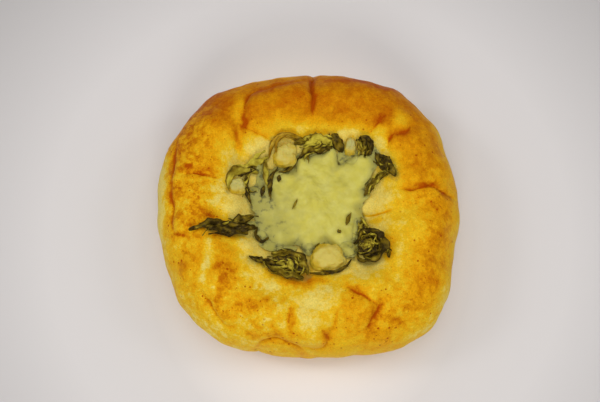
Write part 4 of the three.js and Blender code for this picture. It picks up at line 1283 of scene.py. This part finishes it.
class SAVOURYBUN_OT_greens(bpy.types.Operator):
    """Lay the pickled greens"""

    bl_idname = "savoury_bun.greens"
    bl_label = "Greens"

    # Form of a leaf, in mm where nothing else is said.
    CELL_ALONG, CELL_ACROSS = 0.3, 0.22
    LEAST_ALONG, LEAST_ACROSS = 10, 6  # cells
    NOISE_SPAN = 100  # within which the noise of each leaf is shifted
    NOISE_OF_EDGES = 9  # how far the noise of either edge is shifted from the leaf's
    TIP, TAPER_POWER = 0.01, 0.6  # share of the length at either end that narrows no further
    RAGS, RAG_SIZE = 0.35, 2  # share of the half width
    ARCH = math.radians(70)  # how far a leaf bends down to either side
    ARCH_HEIGHT = 0.7  # share of the half width
    PLEAT, PLEAT_HEIGHT = 1.8, 0.15  # from one pleat to the next, and half its height
    PLEAT_SWAY, PLEAT_SWAY_SIZE = 3, 5  # how far pleats sway, in radians of their wave
    CRUMPLE, CRUMPLE_SIZE, CRUMPLE_STRETCH = 0.35, 2.2, 2  # height, width, length by width

    # Tone of a leaf: how much lighter it is than its own, how much its pleats (painted highlight on
    # their crests, painted shade in their troughs) and its spots change it, and the share by which
    # its edges are darker (painted shade where the leaf arches down), setting in at a share of the
    # half width.
    TONE_LIFT, PLEAT_TONE, SPOT_TONE, EDGE_SHADE = 0.1, 0.05, 0.4, 0.6
    SPOT_SIZE, SPOT_STRETCH, SPOT_OCTAVES, SPOT_SHIFT = 3, 1.5, 3, 23
    EDGE_FROM, EDGE_OVER = 0.5, 0.45

    # The dark heart of a bundle.
    CORE_STEPS = 5
    CORE_DENTS, CORE_DENT_SIZE, CORE_DENT_OCTAVES = 0.3, 0.4, 3
    CORE_FLATNESS = 0.6  # share of its half height that it keeps
    CORE_SEAT = 0.45  # height of its middle, as a share of its flattened half height
    CORE_TONE, CORE_SPOT_TONE, CORE_SPOT_SIZE = 0.15, 0.4, 0.2

    # Thin strands, each taken from one of the leaves and changed at random.
    STRAND_TURN = 0.35  # radians
    STRAND_LENGTH = (0.5, 1)  # share of the leaf's
    STRAND_SHIFT = 0.25  # share of the leaf's width
    STRAND_STRAY = 0.5  # mm, of each point of its path
    STRAND_WIDTH = (0.5, 1.3)  # mm
    STRAND_ROLL = 30  # degrees
    STRAND_TONE = (-0.15, 0.55)  # over the leaf's
    STRAND_LIFT = (0.4, 1.1)  # mm over the leaf's

    def lay_leaf(self, mesh, tones, leaf, ground, thickness, rng, over=0.0):
        """Adds one arched, folded leaf along its path over the ground."""
        path, width, roll, ruffles, tone = leaf
        length = smooth_line(path, np.array([0.0]))[4]
        along = max(self.LEAST_ALONG, round(length / self.CELL_ALONG))
        across = max(self.LEAST_ACROSS, round(width / self.CELL_ACROSS))
        made = bmesh.ops.create_grid(mesh, x_segments=along, y_segments=across, size=0.5)["verts"]
        flat = positions(made)
        t, w = flat[:, 0] + 0.5, flat[:, 1] * 2
        x, y, run_x, run_y, _ = smooth_line(path, t)
        shift = np.full_like(t, rng.uniform(0, self.NOISE_SPAN))
        rim = np.stack([t * length, np.sign(w) * self.NOISE_OF_EDGES + shift, shift], 1)
        taper = np.sin(np.pi * np.clip(t, self.TIP, 1 - self.TIP)) ** self.TAPER_POWER
        half = width / 2 * taper * (1 + self.RAGS * rough(rim, self.RAG_SIZE))
        # Its section is arched, then tilted by its roll.
        ruffle = 2 * np.pi * ruffles * t
        tilt = np.radians(roll + TILT_SWING * np.sin(ruffle + path[0][0]))
        bend = w * self.ARCH
        arch = self.ARCH_HEIGHT * half * (np.cos(bend) - math.cos(self.ARCH))
        reach = half * np.sin(bend) / math.sin(self.ARCH)
        sideways = reach * np.cos(tilt) - arch * np.sin(tilt)
        x, y = x - run_y * sideways, y + run_x * sideways
        lift = half * np.abs(np.sin(tilt)) + reach * np.sin(tilt) + arch * np.cos(tilt)
        # It is ruffled along its length, pleated across its width and crumpled all over.
        lift += RUFFLE_HEIGHT * (1 + np.sin(ruffle + 2 * w))
        midline = np.stack([t * length, shift, shift], 1)
        sway = self.PLEAT_SWAY * rough(midline, self.PLEAT_SWAY_SIZE)
        pleats = np.sin(2 * np.pi * w * half / self.PLEAT + sway)
        grain = np.stack([t * length / self.CRUMPLE_STRETCH, w * half, shift], 1)
        lift += self.PLEAT_HEIGHT * (1 + pleats)
        lift += self.CRUMPLE * np.abs(rough(grain, self.CRUMPLE_SIZE))
        height = ground(x, y) + CLEARANCE + thickness / 2 + lift + over
        move_to(made, np.stack([x, y, height], 1))
        # The vertices that its thickness adds come last, and have its plain tone.
        faces = list({face for vert in made for face in vert.link_faces})
        before = len(mesh.verts)
        bmesh.ops.solidify(mesh, geom=faces, thickness=thickness * MM)
        places = np.stack([t * length, self.SPOT_STRETCH * w * half, shift + self.SPOT_SHIFT], 1)
        spots = rough(places, self.SPOT_SIZE, self.SPOT_OCTAVES)
        # Painted light and shade: lighter on the pleats' crests, darker in their troughs and at the
        # edges where the leaf arches down.
        edge = smooth((np.abs(w) - self.EDGE_FROM) / self.EDGE_OVER)
        light = tone + self.TONE_LIFT + self.PLEAT_TONE * pleats + self.SPOT_TONE * spots
        tones.extend(np.clip(light * (1 - self.EDGE_SHADE * edge), 0, 1))
        tones.extend([tone] * (len(mesh.verts) - before))

    def lay_core(self, mesh, tones, core, ground):
        """Adds the dark heart of a bundle."""
        centre, half_sizes, turn = core
        made = bmesh.ops.create_icosphere(mesh, subdivisions=self.CORE_STEPS, radius=1)["verts"]
        ball = positions(made)
        dents = rough(ball, self.CORE_DENT_SIZE, self.CORE_DENT_OCTAVES, np.array([*centre, 0]))
        uneven = 1 + self.CORE_DENTS * dents
        x, y = spread_ball(ball, uneven, centre, half_sizes, turn)
        base = ground(*np.array(centre, float)[:, None])[0] + CLEARANCE
        rise = half_sizes[2] * self.CORE_FLATNESS * (self.CORE_SEAT + uneven * ball[:, 2])
        move_to(made, np.stack([x, y, base + rise], 1))
        spots = rough(ball, self.CORE_SPOT_SIZE)
        tones.extend(np.clip(self.CORE_TONE + self.CORE_SPOT_TONE * spots, 0, 1))

    def draw_strand(self, leaves, rng):
        """A thin strand along one of the leaves, drawn at random."""
        path, width, _, ruffles, tone = leaves[rng.integers(len(leaves))]
        points = np.array(path)
        middle = points.mean(0)
        turn = rng.normal(0, self.STRAND_TURN)
        c, s = math.cos(turn), math.sin(turn)
        moved = (points - middle) @ np.array([[c, s], [-s, c]]) * rng.uniform(*self.STRAND_LENGTH)
        moved += middle + rng.normal(0, self.STRAND_SHIFT * width, 2)
        moved += rng.normal(0, self.STRAND_STRAY, points.shape)
        return (moved, rng.uniform(*self.STRAND_WIDTH),
                rng.uniform(-self.STRAND_ROLL, self.STRAND_ROLL), ruffles + 1,
                np.clip(tone + rng.uniform(*self.STRAND_TONE), 0, 1))

    def bundle(self, name, nodes, core, leaves, slot, ground, material, thickness, strands=0):
        """Makes a piece of leaves laid over a core, with thin strands on top."""
        mesh = bmesh.new()
        first_x = leaves[0][0][0][0]
        rng = np.random.default_rng(round(1000 * abs(first_x)))
        tones = []
        if core:
            self.lay_core(mesh, tones, core, ground)
        for leaf in leaves:
            self.lay_leaf(mesh, tones, leaf, ground, thickness, rng)
        for _ in range(strands):
            strand = self.draw_strand(leaves, rng)
            over = rng.uniform(*self.STRAND_LIFT)
            self.lay_leaf(mesh, tones, strand, ground, thickness, rng, over)
        bmesh.ops.recalc_face_normals(mesh, faces=mesh.faces)
        make_piece(name, mesh, nodes, material, {"tone": np.array(tones)})

    def execute(self, context):
        crust, cheese = forms(context.scene)
        settings = context.scene.savoury_bun_filling
        leaf = leaf_material(
            "pickled_leaf", settings.leaf_dark, settings.leaf_olive, settings.leaf_light)
        stalk = leaf_material(
            "pickled_stalk", settings.stalk_dark, settings.stalk, settings.stalk_light)
        thickness = settings.leaf_thickness / MM
        for node, core, strands, leaves in GREENS:
            slot, material = ("stalk", stalk) if node.startswith("stalk") else ("greens", leaf)
            name = node.replace("greens", "leaves")
            if name == node:
                name = "wet_" + node
            self.bundle(name, [node], core, leaves, slot, crust.bed, material, thickness, strands)

        def sunk(x, y):
            return np.maximum(crust.bed(x, y), cheese.top(x, y) - SHRED_SINK)

        self.bundle("cheese_shreds", [], None, CHEESE_SHREDS, "greens", sunk, leaf, thickness)
        return {"FINISHED"}


class SAVOURYBUN_OT_stage(bpy.types.Operator):
    """Set the floor, light and camera"""

    bl_idname = "savoury_bun.stage"
    bl_label = "Stage"

    AIM = Vector((-3.2, 5.2, 14)) * MM
    FLOOR_RADIUS, FLOOR_SIDES = 3.0, 96
    NEAREST_SEEN = 0.01  # metres from the camera
    LAMPS = (  # name, place, size, all in metres
        ("overhead_lamp", (0.0, 0.15, 1.3), 1.5),
        ("left_lamp", (-0.85, 0.1, 0.85), 0.3),
        ("right_lamp", (0.85, 0.1, 0.85), 0.3),
        ("front_lamp", (0.0, -0.9, 0.7), 0.5),
    )

    def lay_floor(self, settings):
        mesh = bmesh.new()
        bmesh.ops.create_circle(
            mesh, cap_ends=True, segments=self.FLOOR_SIDES, radius=self.FLOOR_RADIUS)
        data = bpy.data.meshes.new("floor")
        mesh.to_mesh(data)
        mesh.free()
        data.materials.append(floor_material(settings))
        link_object("floor", data)

    def hang_lamps(self, settings):
        for name, place, size in self.LAMPS:
            light = bpy.data.lights.new(name, "AREA")
            light.shape = "DISK"
            light.size = size
            light.energy = getattr(settings, name)
            aim = (self.AIM - Vector(place)).to_track_quat("-Z", "Y").to_matrix().to_4x4()
            link_object(name, light).matrix_world = Matrix.Translation(place) @ aim

    def execute(self, context):
        settings = context.scene.savoury_bun_stage
        self.lay_floor(settings)
        self.hang_lamps(settings)
        world = bpy.data.worlds.new("soft_light")
        world.use_nodes = True
        background = world.node_tree.nodes["Background"]
        background.inputs["Color"].default_value = (*settings.fill_colour, 1)
        background.inputs["Strength"].default_value = settings.fill
        context.scene.world = world
        context.scene.view_settings.view_transform = "Standard"
        data = bpy.data.cameras.new("camera")
        data.lens = settings.lens
        data.clip_start = self.NEAREST_SEEN
        camera = link_object("camera", data)
        back = Vector((0, -math.cos(settings.elevation), math.sin(settings.elevation)))
        camera.location = self.AIM + back * settings.distance
        camera.rotation_euler = (-back).to_track_quat("-Z", "Y").to_euler()
        context.scene.camera = camera
        return {"FINISHED"}


class SAVOURYBUN_PT_panel(bpy.types.Panel):
    """Lists the bun's sizes, colours and steps"""

    bl_label = "Savoury Bun"
    bl_idname = "SAVOURYBUN_PT_panel"
    bl_space_type = "VIEW_3D"
    bl_region_type = "UI"
    bl_category = "Bun"

    def draw(self, context):
        for group in SETTINGS:
            box = self.layout.box()
            settings = getattr(context.scene, group)
            for key in settings.__annotations__:
                box.prop(settings, key)
        for step in STEPS:
            self.layout.operator(step.bl_idname)


SETTINGS = {
    "savoury_bun_dough": DoughSettings,
    "savoury_bun_filling": FillingSettings,
    "savoury_bun_stage": StageSettings,
}
STEPS = (
    SAVOURYBUN_OT_stage,
    SAVOURYBUN_OT_dough,
    SAVOURYBUN_OT_cheese,
    SAVOURYBUN_OT_lumps,
    SAVOURYBUN_OT_greens,
)
CLASSES = (*SETTINGS.values(), *STEPS, SAVOURYBUN_PT_panel)


def register():
    for cls in CLASSES:
        bpy.utils.register_class(cls)
    for name, cls in SETTINGS.items():
        setattr(bpy.types.Scene, name, PointerProperty(type=cls))


def unregister():
    for name in SETTINGS:
        delattr(bpy.types.Scene, name)
    for cls in reversed(CLASSES):
        bpy.utils.unregister_class(cls)


def main():
    register()
    bpy.ops.savoury_bun.stage()
    bpy.ops.savoury_bun.dough()
    bpy.ops.savoury_bun.cheese()
    bpy.ops.savoury_bun.lumps()
    bpy.ops.savoury_bun.greens()


if __name__ == "__main__":
    main()
